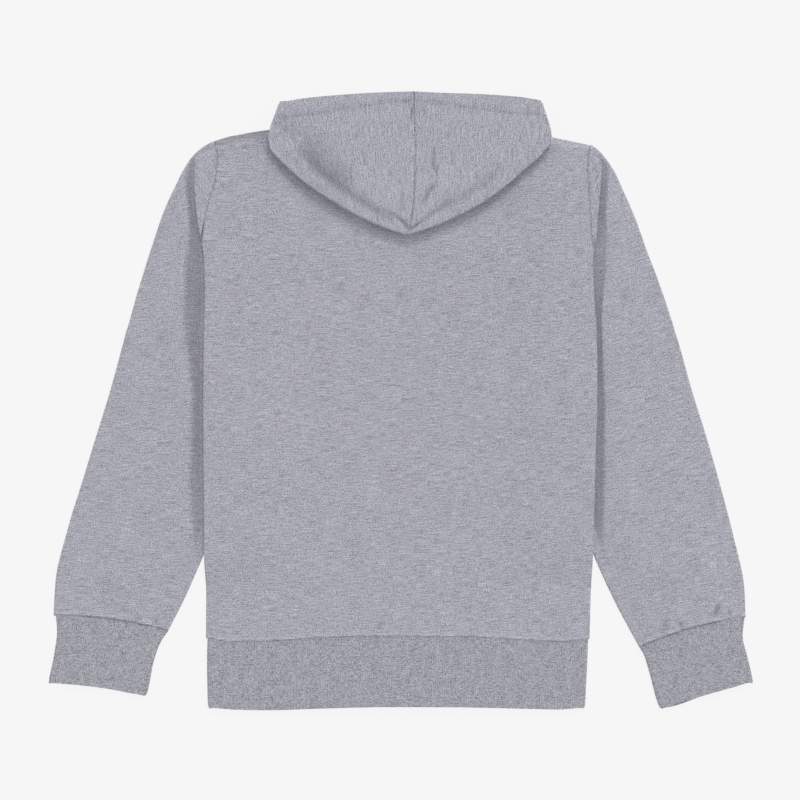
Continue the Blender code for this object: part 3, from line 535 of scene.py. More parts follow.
@dataclass(frozen=True)
class Ripple:
    """The slow unevenness of cloth that was smoothed by hand, as crossing waves.

    Attributes:
        height: how far it strays up and down.
        length: typical distance from hump to hump.
        seed: which pattern of humps it is.
        waves: how many waves cross each other.
    """

    height: float
    length: float
    seed: int
    waves: int = 9

    def rise(self, x: Array, y: Array) -> Array:
        """How far it lifts the cloth at each place."""
        random = np.random.default_rng(self.seed)
        total = np.zeros(np.shape(x))
        for _ in range(self.waves):
            angle = random.uniform(0, math.pi)
            pitch = self.length * random.uniform(0.6, 1.7)
            phase = random.uniform(0, 2 * math.pi)
            total += np.cos(2 * math.pi * (x * math.cos(angle) + y * math.sin(angle)) / pitch + phase)
        return self.height * total / math.sqrt(self.waves)


@dataclass(frozen=True)
class Grain:
    """How the knit's courses run over a piece as it lies.

    Attributes:
        angle: degrees from +X to the courses, anticlockwise, at the centre.
        bend: further degrees for each 100 mm along a course.
        tilt: further degrees for each 100 mm across the courses.
        centre: the place that the others are given for.
    """

    angle: float
    bend: float = 0.0
    tilt: float = 0.0
    centre: Point = (0.0, 0.0)

    def cut(self, points: Array) -> Array:
        """Places in the cut piece, in metres, courses along the first axis."""
        turn = math.radians(self.angle)
        x, y = points[..., 0] - self.centre[0], points[..., 1] - self.centre[1]
        u = x * math.cos(turn) + y * math.sin(turn)
        v = y * math.cos(turn) - x * math.sin(turn)
        v = v - math.radians(self.bend) * u * u / 200 - math.radians(self.tilt) * u * v / 100
        return np.stack([u, v], axis=-1) * MM


@dataclass(frozen=True)
class SeamRoll:
    """How a seam draws in the cloth beside it, and the shade painted along it.

    Attributes:
        rise: how far the cloth rises there, or sinks where it is negative.
        crest: distance from the seam at which it does so most.
        width: half the breadth of that roll.
        shade: how much darker painted shade makes the cloth at the seam.
        shade_width: half the breadth of that painted dark line.
        wide_shade: how much darker further painted shade makes it, fading, over the reach.
        reach: how far that goes.
    """

    rise: float
    crest: float
    width: float
    shade: float
    shade_width: float
    wide_shade: float = 0.0
    reach: float = 6.0


# the armhole seam sinks into a groove, with a painted shade line along it
ARMHOLE_ROLL = SeamRoll(-1.0, 0.0, 1.0, 0.25, 0.8)
CLOSE_ROWS = (0.4, 0.8, 1.3, 1.9, 2.7, 3.8)


class Seams(NamedTuple):
    """Distances from a grid's edges at which it has further rows or columns."""

    first: tuple[float, ...] = ()
    last: tuple[float, ...] = ()
    left: tuple[float, ...] = ()
    right: tuple[float, ...] = ()


class Sheet:
    """A fine grid through the middle of a piece of cloth."""

    def __init__(
        self,
        sections: Sequence[Sequence[Array]],
        spacing: float | Point,
        least: int = 2,
        seams: Seams = Seams(),
    ) -> None:
        """Fills in the grid between given sections.

        Args:
            sections: points across the cloth, section after section.
            spacing: most distance between the grid's points, or between its columns and its rows.
            least: fewest steps between two points of a section.
            seams: edges along which the grid is finer.
        """
        rough = np.array(sections, float)
        fine, apart = np.broadcast_to(spacing, 2)
        gaps = np.linalg.norm(np.diff(rough, axis=1), axis=2)
        close = (seams.left, seams.right)
        known, at, self.across = stations_of((gaps.mean(0), gaps.max(0)), fine, least, close)
        wide = np.stack([monotone(row, known, at) for row in rough])
        gaps = np.linalg.norm(np.diff(wide, axis=0), axis=2)
        close = (seams.first, seams.last)
        known, at, self.down = stations_of((gaps.mean(1), gaps.max(1)), apart, 1, close)
        flat = monotone(wide.reshape(len(rough), -1), known, at)
        self.points = flat.reshape(len(at), -1, 3)
        self.grains: list[tuple[float, float, Grain]] = []
        # painted shade: how far each point's colour is darkened towards black
        self.painted_shade = np.zeros(self.x.shape)

    @classmethod
    def ruled(cls, first: Array, second: Array, columns: int) -> "Sheet":
        """A sheet that runs straight from one line of points to another.

        Args:
            first: points of its first column.
            second: points of its last column, as many.
            columns: how many columns it has.

        Returns:
            The sheet.
        """
        made = cls.__new__(cls)
        share = np.linspace(0.0, 1.0, columns)[None, :, None]
        made.points = mix(first[:, None], second[:, None], share)
        made.across = np.arange(columns, dtype=float)
        made.down = np.arange(len(first), dtype=float)
        made.grains = []
        made.painted_shade = np.zeros(made.x.shape)
        return made

    @property
    def x(self) -> Array:
        """The points' X."""
        return self.points[..., 0]

    @property
    def y(self) -> Array:
        """The points' Y."""
        return self.points[..., 1]

    def between(self, start: float, end: float, soft: float = 0.8) -> Array:
        """1 between two control columns and 0 beyond them, with a soft change inside each end."""
        shape = ease((self.across - start) / soft) * ease((end - self.across) / soft)
        return np.broadcast_to(shape[None, :], self.x.shape)

    def lift(self, rise: Array) -> None:
        """Raises the points by an amount for each."""
        self.points[..., 2] += rise

    def press(self, shapes: Sequence[Any], where: Array, shade: float = 0.0) -> None:
        """Lifts the points by ripples and creases, and paints shade where they press the cloth down.

        Args:
            shapes: the ripples and creases.
            where: 1 where they show, 0 where they don't.
            shade: how much painted shade darkens the cloth for each millimetre that it is pressed down.
        """
        for shape in shapes:
            rise = shape.rise(self.x, self.y) * where
            self.lift(rise)
            self.painted_shade += shade * np.maximum(-rise, 0)

    def draw_in(self, seam: SeamRoll, distance: Array, where: Array, dark: Any = 1.0) -> None:
        """Lifts the cloth beside a seam and darkens it with painted shade.

        Args:
            seam: how the seam draws it.
            distance: how far each point is from the seam.
            where: 1 where the roll shows, 0 where it doesn't.
            dark: 1 where the painted shade shows, 0 where it doesn't.
        """
        self.lift(seam.rise * bell(distance - seam.crest, seam.width) * where)
        wide = seam.wide_shade * (1 - ease(distance / seam.reach))
        self.painted_shade += (seam.shade * bell(distance, seam.shade_width) + wide) * dark

    def above_fold(self) -> Array:
        """1 in the rows of the armhole that shows, 0 below it."""
        return ease((ROUND_ROW - self.down) / 0.5)[:, None]

    def from_edge(self, last: bool, axis: int = 0) -> Array:
        """Distance of each point along the cloth from the first or last row, or column for axis 1."""
        steps = np.linalg.norm(np.diff(self.points, axis=axis), axis=2)
        if last:
            steps = np.flip(steps, axis)
        total = np.cumsum(steps, axis=axis)
        total = np.insert(total, 0, 0.0, axis=axis)
        return np.flip(total, axis) if last else total

    def on_top(self, path: Sequence[Point], start: float, above: float) -> Array:
        """Places on the sheet's upper layer.

        Args:
            path: a line over the sheet.
            start: the control column at which the upper layer starts.
            above: height over the middle of the cloth.

        Returns:
            Points a few millimetres apart along the line.
        """
        layer = self.points[:, self.across >= start].reshape(-1, 3)
        line = np.array(path, float)
        known = run_of(line)
        at = np.arange(0.0, known[-1], 1.5)
        spread = np.stack([np.interp(at, known, line[:, k]) for k in range(2)], axis=1)
        found = []
        for place in spread:
            distance = np.linalg.norm(layer[:, :2] - place, axis=1)
            near = np.argsort(distance)[:4]
            weight = 1 / (distance[near] + 0.1)
            height = float(np.sum(layer[near, 2] * weight) / weight.sum())
            found.append(xyz(place, height + above))
        return np.array(found)

    def add_to(self, bm: bmesh.types.BMesh) -> None:
        """Adds the grid to a mesh, in metres."""
        rows, columns = self.x.shape
        layers = bm.verts.layers.float
        # the painted shade goes on each vertex as an attribute that the materials read
        layer = layers.get("painted_shade") or layers.new("painted_shade")
        made = bmesh.ops.create_grid(bm, x_segments=columns - 1, y_segments=rows - 1, size=1.0)
        painted_shade = np.clip(self.painted_shade, 0, 1).ravel()
        for vert, point, shade in zip(made["verts"], self.points.reshape(-1, 3), painted_shade):
            vert.co = Vector(point) * MM
            vert[layer] = shade


@dataclass(frozen=True)
class Cloth:
    """What a sheet is made of.

    Attributes:
        thick: thickness of its wall.
        round_off: how far its cut edges are rounded.
        slot: material slot of the record.
    """

    thick: float
    round_off: float
    slot: Slot


TERRY = Cloth(1.6, 0.5, Slot.TERRY)
RIB = Cloth(2.4, 1.0, Slot.RIB)
TAPE = Cloth(0.6, 0.15, Slot.TAPE)


@dataclass(frozen=True)
class Cut:
    """The flat piece that a sheet was cut to, in millimetres.

    Attributes:
        width: across the cut.
        length: along it.
        share: how much of that rectangle the piece fills.
        rests_on: the pieces that it lies on.
    """

    width: float
    length: float
    share: float
    rests_on: tuple[str, ...] = ("floor",)


def finish_piece(piece: bpy.types.Object, node: str, body: Body) -> None:
    """Puts a piece on its body in place of a solid of the frame.

    Args:
        piece: the finished piece.
        node: the solid that it stands for.
        body: what it moves with.
    """
    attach(piece, body.value)
    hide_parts(node)
    log.info("%s: %d faces", piece.name, len(piece.data.polygons))


def object_from(name: str, bm: bmesh.types.BMesh, dress: bpy.types.Material) -> bpy.types.Object:
    """Makes a smooth-shaded object of a mesh and frees the mesh.

    Args:
        name: the object's name.
        bm: its mesh, in metres, in place.
        dress: its material.

    Returns:
        The object, at the origin.
    """
    mesh = bpy.data.meshes.new(name)
    bm.to_mesh(mesh)
    bm.free()
    mesh.shade_smooth()
    mesh.materials.append(dress)
    made = bpy.data.objects.new(name, mesh)
    bpy.context.scene.collection.objects.link(made)
    return made


def sew(
    node: str, sheets: Sequence[Sheet], cloth: Cloth, grain: Grain, dress: bpy.types.Material
) -> bpy.types.Object:
    """Makes one piece of cloth of its sheets, in place of a solid of the frame.

    Args:
        node: the solid that it stands for.
        sheets: the grids that make it up, which meet edge to edge.
        cloth: its thickness and edges.
        grain: how its courses run.
        dress: its material.

    Returns:
        The piece, with a wall and rounded edges.
    """
    bm = bmesh.new()
    for sheet in sheets:
        sheet.add_to(bm)
    if len(sheets) > 1:
        bmesh.ops.remove_doubles(bm, verts=bm.verts, dist=JOINED)
    bmesh.ops.recalc_face_normals(bm, faces=bm.faces)
    piece = object_from(node + "_piece", bm, dress)
    lay_grain(piece.data, sheets, grain)
    wall = piece.modifiers.new("Wall", "SOLIDIFY")
    wall.thickness = cloth.thick * MM
    wall.offset = 0
    edges = piece.modifiers.new("Edges", "BEVEL")
    edges.width = cloth.round_off * MM
    edges.segments = 2
    edges.limit_method = "ANGLE"
    edges.angle_limit = CUT_ANGLE
    finish_piece(piece, node, Body.GARMENT)
    return piece


def lay_grain(mesh: bpy.types.Mesh, sheets: Sequence[Sheet], grain: Grain) -> None:
    """Gives a piece its places in the cut, as the UV map "cut"."""
    places = np.empty(len(mesh.vertices) * 3, np.float32)
    mesh.vertices.foreach_get("co", places)
    places = places.reshape(-1, 3) / MM
    corner = np.empty(len(mesh.loops), np.int32)
    mesh.loops.foreach_get("vertex_index", corner)
    uv = grain.cut(places)[corner]
    if len(sheets) == 1:
        columns = len(sheets[0].across) - 1
        middle = (sheets[0].across[:-1] + sheets[0].across[1:]) / 2
        face_column = np.tile(middle, len(mesh.polygons) // columns)
        loop_column = np.repeat(face_column, 4)
        for start, end, other in sheets[0].grains:
            here = (loop_column > start) & (loop_column < end)
            uv[here] = other.cut(places)[corner[here]]
    layer = mesh.uv_layers.new(name="cut")
    layer.uv.foreach_set("vector", uv.astype(np.float32).ravel())


class SewnPart:
    """A part cut from cloth. Each kind names its solid, cloth, grain and cut, and shapes its sheets."""

    cloth: Cloth = TERRY

    def build(self, dress: bpy.types.Material) -> bpy.types.Object:
        """Sews the part.

        Args:
            dress: its material.

        Returns:
            The piece.
        """
        piece = sew(self.node, self.sheets(), self.cloth, self.grain, dress)
        return piece


# The garment as it lies --------------------------------------


@dataclass(frozen=True)
class Flank:
    """One side of the garment: its outlines, its creases and which way it faces.

    Attributes:
        name: the wearer's left or right.
        out: 1 where it faces +X, -1 where it faces -X.
        head: sections of the sleeve's head, from the shoulder down.
        sleeve: sections of the sleeve below its underarm.
        cuff: sections of the cuff.
        neck: the neck edge of the front, from the shoulder to the zip.
        bag: paths over the hood, from its centre seam outwards.
        corner: where the rim of the hood turns under.
        rim: the rim on the floor, from there to the zip.
        trough: the trough of the sleeve beside the body.
        crest: height of the ridge beyond the trough.
        lit: how far from the body's edge the trough's painted shade starts.
        front_grain: how the front's courses run.
        sleeve_grain: how the sleeve's run.
        strip_grain: how they run on the strip folded over its head.
        cuff_grain: how the cuff's run.
        hood_grain: how the hood's run.
        sleeve_creases: creases of the sleeve's upper layer.
        hood_creases: creases of the hood's upper layer.
        hood_hem: the line along which the hood's hem is stitched.
    """

    name: str
    out: int
    head: tuple[Head, ...]
    sleeve: tuple[Tube, ...]
    cuff: tuple[Tube, ...]
    neck: tuple[Point, ...]
    bag: tuple[Bag, ...]
    corner: Point
    rim: tuple[Point, ...]
    trough: tuple[Trough, ...]
    crest: float
    lit: float
    front_grain: Grain
    sleeve_grain: Grain
    strip_grain: Grain
    cuff_grain: Grain
    hood_grain: Grain
    sleeve_creases: tuple[Crease, ...]
    hood_creases: tuple[Crease, ...]
    hood_hem: tuple[Point, ...]

    def fold(self, y: Any) -> Any:
        """X of the body's folded edge."""
        return np.interp(y, column(BODY, "y"), column(BODY, self.name + "_fold"))

    def seam(self, y: Any) -> Any:
        """X of the side seam hidden behind the fold."""
        return np.interp(y, column(BODY, "y"), column(BODY, self.name + "_seam"))

    def inner_edge(self, y: Any) -> Any:
        """X of the hidden inner edge of the sleeve under the body."""
        return x_at(y, [row.inner for row in self.sleeve])

    def body_edge(self, y: Any) -> Any:
        """X of the body's outer edge from above: its fold, or its armhole seam higher up."""
        seam = [row.back for row in self.head[: ROUND_ROW + 1]]
        return np.where(np.asarray(y) <= seam[-1][1], self.fold(y), x_at(y, seam))

    def cover_edge(self, y: Any) -> Any:
        """X of the outermost edge that lies on the sleeve: the head's fold, then the body's."""
        folds = [row.fold for row in self.head if row.fold]
        return np.where(np.asarray(y) <= folds[-1][1], self.fold(y), x_at(y, folds))

    def past_body(self, x: Any, y: Any) -> Any:
        """How far outside the body's edge a place is."""
        return (x - self.body_edge(y)) * self.out

    def past_cover(self, x: Any, y: Any) -> Any:
        """How far outside the outermost edge on the sleeve a place is."""
        return (x - self.cover_edge(y)) * self.out

    def trough_at(self, y: Any) -> tuple[Any, Any, Any]:
        """Reach, softness and depth of the sleeve's trough."""
        rows = np.array(self.trough)
        reach, soft, depth = (np.interp(-np.asarray(y), -rows[:, 0], rows[:, k]) for k in (1, 2, 3))
        return reach, soft, depth


LEFT = Flank(
    name="left",
    out=-1,
    head=LEFT_HEAD,
    sleeve=LEFT_SLEEVE,
    cuff=LEFT_CUFF,
    neck=LEFT_NECK,
    bag=LEFT_BAG,
    corner=(-140.0, 340.2),
    rim=((-88, 337), (-62, 327), (-33, 306), (-6.4, 262)),
    trough=LEFT_TROUGH,
    crest=3.3,
    lit=0.0,
    front_grain=Grain(-1),
    sleeve_grain=Grain(1, 0, 3, (-280, -50)),
    strip_grain=Grain(-52),
    cuff_grain=Grain(8),
    hood_grain=Grain(97, 0, 10, (-40, 270)),
    sleeve_creases=(
        Crease(((-305, -258), (-303, -244)), -1.4, 2.4, 0.1, 0.7),
        Crease(((-300, -258), (-297, -240)), 0.9, 3.0, 0.1, 0.7),
        Crease(((-283, -259), (-281, -247)), -1.5, 2.4, 0.1, 0.7),
        Crease(((-276, -260), (-273, -240)), 0.9, 3.2, 0.1, 0.7),
        Crease(((-338, -230), (-322, -240), (-306, -243)), -0.9, 3.5, 0.3, 0.4),
        Crease(((-330, -180), (-290, -200), (-262, -214)), 0.5, 9, 0.4, 0.4),
        Crease(((-352, -205), (-318, -222), (-290, -236)), -0.5, 7, 0.4, 0.4),
    ),
    hood_creases=(
        Crease(((-142, 302), (-106, 260), (-70, 230), (-34, 209), (-8, 197)), 0.9, 6, 0.1, 0.1),
        Crease(((-124, 296), (-92, 262), (-60, 238), (-28, 218), (-6, 205)), -1.2, 6, 0.25, 0.1),
        Crease(((-112, 322), (-104, 288), (-74, 260), (-44, 238)), -1.2, 15, 0.3, 0.3),
        Crease(((-60, 300), (-30, 280)), 1.2, 26, 0.4, 0.4),
        Crease(((8.6, 196.8), (3, 204.6), (-7, 212), (-22, 221)), -2.0, 2.3, 0.02, 0.75),
        Crease(((4, 212), (1, 223), (-2, 238)), -0.9, 2.6, 0.3, 0.4),
        Crease(((12, 337), (12, 321)), -1.6, 1.7, 0.15, 0.3),
        Crease(((2, 344), (9, 344)), -0.9, 2.5, 0.3, 0.3),
        Crease(((-138, 334), (-130, 316), (-116, 300)), -0.7, 13, 0.3, 0.4),
    ),
    hood_hem=((-138, 324.3), (-98.9, 328.9), (-52.9, 336.9), (-17.2, 342.7), (14.5, 343)),
)
RIGHT = Flank(
    name="right",
    out=1,
    head=RIGHT_HEAD,
    sleeve=RIGHT_SLEEVE,
    cuff=RIGHT_CUFF,
    neck=RIGHT_NECK,
    bag=RIGHT_BAG,
    corner=(161.8, 341.6),
    rim=((95, 338), (66, 328), (35, 307), (6.4, 262)),
    trough=RIGHT_TROUGH,
    crest=2.1,
    lit=-4.0,
    front_grain=Grain(1),
    sleeve_grain=Grain(14, 0, 2, (280, 0)),
    strip_grain=Grain(75),
    cuff_grain=Grain(-8),
    hood_grain=Grain(89, 0, 3, (60, 270)),
    sleeve_creases=(
        Crease(((355, -250), (356, -241), (361, -233)), 1.7, 3.0, 0.1, 0.5),
        Crease(((361.5, -248), (362, -241), (367, -232)), -2.6, 2.7, 0.1, 0.5),
        Crease(((370, -247), (371, -240)), 1.5, 2.8, 0.1, 0.6),
        Crease(((377, -247), (378, -239)), -2.2, 2.7, 0.1, 0.6),
        Crease(((325, -266), (321, -257), (313, -250)), -2.0, 2.8, 0.1, 0.6),
        Crease(((297, -270), (304, -262), (313, -258)), -1.3, 3.2, 0.2, 0.5),
        Crease(((280, -246), (306, -232), (326, -226)), -0.5, 5, 0.3, 0.5),
        Crease(((268, -224), (298, -212), (330, -204)), -0.45, 7, 0.3, 0.5),
        Crease(((300, -196), (336, -184), (362, -180)), 0.4, 9, 0.4, 0.4),
    ),
    hood_creases=(
        Crease(((37, 294), (37, 270), (43, 254)), -1.5, 2.8, 0.3, 0.35),
        Crease(((31, 292), (31, 268), (36, 254)), 1.2, 3.4, 0.3, 0.35),
        Crease(((46, 250), (33, 243), (28, 232), (26, 220)), -1.6, 3.0, 0.35, 0.35),
        Crease(((42, 262), (42, 248), (36, 232)), 1.4, 6.0, 0.3, 0.4),
        Crease(((11, 197), (14.5, 199.2), (22, 204.5), (28, 210)), -2.2, 2.0, 0.02, 0.6),
        Crease(((20, 202), (29, 210), (49, 224), (67, 240)), -1.0, 3.0, 0.2, 0.6),
        Crease(((20, 334), (20, 324)), -0.8, 1.8, 0.3, 0.3),
        Crease(((25, 337), (27, 325)), -1.0, 1.8, 0.3, 0.3),
        Crease(((11, 206), (20, 222), (27, 240)), 1.6, 4.5, 0.1, 0.6),
        Crease(((20, 199), (60, 217), (100, 241), (150, 285)), 1.2, 6, 0.2, 0.3),
        Crease(((30, 210), (64, 229), (96, 250), (130, 277)), -0.9, 6, 0.3, 0.3),
    ),
    hood_hem=((15, 343), (34.5, 342.1), (85.1, 335.8), (124.2, 330), (162.1, 326.6)),
)
FLANKS = (LEFT, RIGHT)


class SidePart(SewnPart):
    """A sewn part that the garment has on each side, named for its kind and its side."""

    @property
    def node(self) -> str:
        """The solid that it stands for."""
        return self.kind + "_" + self.flank.name

    @property
    def grain(self) -> Grain:
        """How its courses run."""
        return getattr(self.flank, self.kind + "_grain")


@dataclass(frozen=True)
class Lay:
    """Heights of the middles of the garment's layers, and how they come down to each other."""

    seam_gap: float = 0.3
    bent_gap: float = 1.2
    seam_lap: float = 1.0
    floor_layer: float = 0.8
    sleeve_top: float = 3.4
    lifted: float = 4.7
    fold_rise: float = 3.0
    arm_fold_rise: float = 4.6
    snug: float = 0.45
    beside_fold: float = 1.0
    shoulder_back: float = 4.2
    shoulder_front: float = 2.3
    back_middle: float = 5.0
    back_neck: float = 6.3
    hem_back: float = 5.5
    cuff_top: float = 4.0
    lift_run: float = 20.0
    back_edge: float = 45.0
    back_run: float = 85.0
    edge_run: float = 7.0
    arm_low: float = -190.0
    arm_run: float = 120.0
    neck_low: float = 120.0
    neck_run: float = 70.0
    slider_rise: float = 1.3
    slider_reach: float = 25.0
    slider_y: float = 232.0
    arm_gap: float = 6.0
    arm_gap_run: float = 24.0
    hood_gap: float = 0.5
    hood_floor_end: float = 300.0

    @property
    def under_layer(self) -> float:
        """Middle of the body's cloth where it lies over a sleeve."""
        return self.lifted + TERRY.thick / 2

    def fold_height(self, y: Any) -> Any:
        """How far the body's upper layer stands over its lower one at its folded sides."""
        return mix(self.fold_rise, self.arm_fold_rise, ease((y - self.arm_low) / self.arm_run))

    def lift(self, x: Any, y: Any) -> Any:
        """Underside of the body's lower layer: on the floor, or raised over a sleeve."""
        raised = 0.0
        for flank in FLANKS:
            inboard = (flank.inner_edge(y) - x) * flank.out
            raised = raised + self.lifted * (1 - ease((inboard - 1.0) / self.lift_run))
        return raised

    def inwards(self, distance: Any) -> Any:
        """0 near the body's edge to 1 in the flat of the back."""
        return ease((distance - self.back_edge) / self.back_run)

    def back_height(self, x: float, y: float) -> float:
        """Middle of the back panel's cloth, away from its top edge."""
        middle = mix(self.back_middle, self.back_neck, ease((y - self.neck_low) / self.neck_run))
        flank = LEFT if x < 0 else RIGHT
        edge = float(flank.body_edge(y))
        over_arm = self.lifted if y > flank.sleeve[0].inner[1] else self.lift(edge, y)
        at_edge = over_arm + TERRY.thick / 2 + self.fold_height(y)
        height = mix(at_edge, middle, self.inwards(abs(edge - x)))
        reach = self.slider_reach
        return height + self.slider_rise * math.exp(-((x / reach) ** 2) - ((y - self.slider_y) / reach) ** 2)

    def rolled(self, height: float, edge_height: float, distance: float) -> float:
        """A height that rolls down to that of an edge, as a quarter of an ellipse."""
        t = 1 - min(max(distance, 0.0) / self.edge_run, 1.0)
        return edge_height + (height - edge_height) * math.sqrt(1 - t * t)

    def to_shoulder(self, x: float, y: float) -> float:
        """Distance below the body's top edge."""
        return float(np.interp(x, column(SHOULDER, "x"), column(SHOULDER, "y"))) - y

    def back_layer(self, x: float, y: float) -> float:
        """Middle of the back panel's cloth."""
        return self.rolled(self.back_height(x, y), self.shoulder_back, self.to_shoulder(x, y))

    def front_layer(self, flank: Flank, x: float, y: float) -> float:
        """Middle of a front panel's cloth."""
        start = flank.sleeve[0].inner[1] + self.arm_gap
        down_from_arm = ease((start - y) / self.arm_gap_run)
        height = self.floor_layer + self.lift(x, y) * down_from_arm
        if abs(x) < abs(flank.neck[0][0]):
            return height
        return self.rolled(height, self.shoulder_front, self.to_shoulder(x, y))

    def bag_floor(self, x: float, y: float) -> float:
        """Middle of the hood's lower layer where it lies over the back."""
        return self.back_height(x, min(y, self.hood_floor_end)) + TERRY.thick + self.hood_gap

    def row_heights(self) -> list[tuple[float, float, float]]:
        """Rows of the body's panels.

        Returns:
            For each row, its heights at the left and right, and how far it follows the shoulders, 1,
            or the hem seam, -1.
        """
        rows = [
            (left.back[1], right.back[1], max(0.0, 1 - i / 9) ** 0.6)
            for i, (left, right) in enumerate(zip(LEFT_HEAD, RIGHT_HEAD))
        ]
        rows.append((LEFT_SLEEVE[0].inner[1], RIGHT_SLEEVE[0].inner[1], 0.0))
        rows += [(y, y, 0.0) for y in LOWER_ROWS]
        rows.append((HEM[0].seam, HEM[-1].seam, -1.0))
        return rows


def hem_line(x: float, name: str = "seam") -> float:
    """Y of the hem band's seam, or of its lower edge."""
    return float(np.interp(x, column(HEM, "x"), column(HEM, name)))


class Shade(NamedTuple):
    """Painted shade along an edge: how dark it is, how far in it starts to fade, and over how far."""

    depth: float
    start: float
    run: float


@dataclass
class BackPanel(SewnPart):
    """The back, its sides folded under and its top edge at the shoulders and neck."""

    lay: Lay
    node: str = "back_panel"
    spacing: float = 4.0
    cut: Cut = Cut(560, 600, 0.86, ("front_left_piece", "front_right_piece"))
    grain: Grain = Grain(3.2, 1.7)
    ripples: tuple[Ripple, ...] = (Ripple(0.25, 110, 3), Ripple(0.12, 45, 4))
    creases: tuple[Crease, ...] = (
        Crease(((-99, -256), (-30, -253), (36, -254)), 0.45, 5, 0.3, 0.3),
    )
    # the hem seam's roll, with a faint painted shade line along it
    hem_roll: SeamRoll = SeamRoll(0.8, 1.3, 1.3, 0.04, 0.7)
    top_shade: tuple[Shade, ...] = (Shade(0.26, 5, 6), Shade(0.06, 12, 14))
    shade_side: float = -120.0  # X at which the painted shade on the left shoulder's top edge starts
    shade_run: float = 40.0
    far_step: float = 3.5  # from one column to the next beside the armhole
    near_step: float = 0.6  # the same just above the fold
    underarm_step: float = 5.5  # from the sleeve's inner edge out to the seam at the underarm
    off_sleeve: float = 1.5  # from that edge out to a column further down

    def edge_points(self, flank: Flank, index: int, y: float) -> list[Array]:
        """The six columns at one side, from the seam to the flat of the panel.

        Args:
            flank: which side.
            index: the row.
            y: its height at that side.

        Returns:
            The points, from the seam inwards.
        """
        lay, out = self.lay, flank.out
        under, rise = lay.under_layer, lay.fold_height(y)
        if index <= ROUND_ROW:
            bx, by = flank.head[index].back
            if index == ROUND_ROW:
                angles = [2 * LIP, *(math.radians(a) for a in (40, 60, 78, 90))]
                turn = half_turn((bx, by), out, under + rise, under, TERRY.thick, angles)
                return [*turn, turn[-1] - np.array((out * lay.beside_fold, 0, 0))]
            step = self.near_step if index == ROUND_ROW - 1 else self.far_step
            places = [bx - out * step * i for i in range(6)]
            return [xyz((x, by), lay.back_layer(x, by)) for x in places]
        fold = float(flank.fold(y))
        if index <= LAST_HEAD_ROW:
            seam, seam_height = flank.head[index].back[0], under
        elif index == LAST_HEAD_ROW + 1:
            seam, seam_height = flank.sleeve[0].inner[0] + out * self.underarm_step, under
        else:
            seam = float(flank.seam(y))
            under = lay.lift(fold, y) + TERRY.thick / 2
            seam_height = lay.lift(seam, y) + TERRY.thick / 2
        sizes = (under + rise, under, TERRY.thick)
        turn = half_turn((fold, y), out, *sizes, (UNDER, SIDE, TOP), lay.snug)
        beside = float(flank.inner_edge(y)) + out * self.off_sleeve
        within = min(seam, turn[0][0]) < beside < max(seam, turn[0][0])
        if not within or index <= LAST_HEAD_ROW + 1:
            beside = (seam + turn[0][0]) / 2
        middle = max(lay.lift(beside, y) + TERRY.thick / 2, seam_height)
        if index <= LAST_HEAD_ROW + 1:
            middle = lay.under_layer
        flat = turn[-1] - np.array((out * lay.beside_fold, 0, 0))
        return [xyz((seam, y), seam_height), xyz((beside, y), middle), *turn, flat]

    def row_shape(self, x: float, follow: float) -> float:
        """How far a row rises above the straight line between its two ends."""
        if follow == 0:
            return 0.0
        table, name = (SHOULDER, "y") if follow > 0 else (HEM, "seam")
        xs, ys = column(table, "x"), column(table, name)
        straight = np.interp(x, (xs[0], xs[-1]), (ys[0], ys[-1]))
        return abs(follow) * float(np.interp(x, xs, ys) - straight)

    def sections(self) -> list[list[Array]]:
        """Rows from the neck down to the hem seam, each from the left seam to the right one."""
        lay = self.lay
        rows = []
        for index, (left_y, right_y, follow) in enumerate(lay.row_heights()):
            left = self.edge_points(LEFT, index, left_y)
            right = self.edge_points(RIGHT, index, right_y)
            low, high = left[-1][0], right[-1][0]
            share = max(0.0, 1 - index / (LAST_HEAD_ROW + 1))
            inner = []
            for t, top_x in zip(ACROSS, TOP_ACROSS):
                x = mix(mix(low, high, t), top_x, share)
                y = mix(left_y, right_y, (x - low) / (high - low)) + self.row_shape(x, follow)
                if index == 0:
                    y += lay.to_shoulder(x, y) - lay.seam_gap
                inner.append(xyz((x, y), lay.back_layer(x, y)))
            if index == 0:
                for point in left + right:
                    point[1] += lay.to_shoulder(point[0], point[1]) - lay.seam_gap
                    point[2] = lay.shoulder_back
            rows.append(left + inner + right[::-1])
        return rows

    def sheets(self) -> list[Sheet]:
        """The panel, with its folds, ripples and seams, and painted shade at its creases, seams and left
        shoulder edge.
        """
        seams = Seams(last=CLOSE_ROWS, left=CLOSE_ROWS, right=CLOSE_ROWS)
        sheet = Sheet(self.sections(), self.spacing, seams=seams)
        last = sheet.across[-1]
        open_part = sheet.between(3.5, last - 3.5, 1.0)
        open_part = open_part * ease(sheet.from_edge(False) / 25)
        sheet.press(self.ripples, open_part)
        # creases pressed into the panel get painted shade
        sheet.press(self.creases, open_part, 0.12)
        whole = sheet.between(3.0, last - 3.0, 1.0)
        sheet.draw_in(self.hem_roll, sheet.from_edge(True), whole)
        above = sheet.above_fold()
        for last_column in (False, True):
            sheet.draw_in(ARMHOLE_ROLL, sheet.from_edge(last_column, 1), above, above)
        top = sheet.from_edge(False)
        # painted shade along the left shoulder's top edge
        dark = sum(row.depth * (1 - ease((top - row.start) / row.run)) for row in self.top_shade)
        sheet.painted_shade += dark * ease((self.shade_side - sheet.x) / self.shade_run)
        return [sheet]


def bowed(points: list[Array], row: Tube, lap: float) -> list[Array]:
    """Bends a section of a flattened tube by its bow.

    Args:
        points: the section.
        row: the tube's edges there.
        lap: how much further down the lower layer lies than the upper one.

    Returns:
        The section.
    """
    heights = [point[2] for point in points]
    low, high = min(heights), max(heights)
    for point in points:
        t = np.clip((point[0] - row.inner[0]) / (row.outer[0] - row.inner[0]), 0.0, 1.0)
        point[1] += row.bow * 4 * t * (1 - t) - lap * (1 - ease(1.5 * (point[2] - low) / (high - low)))
    return points


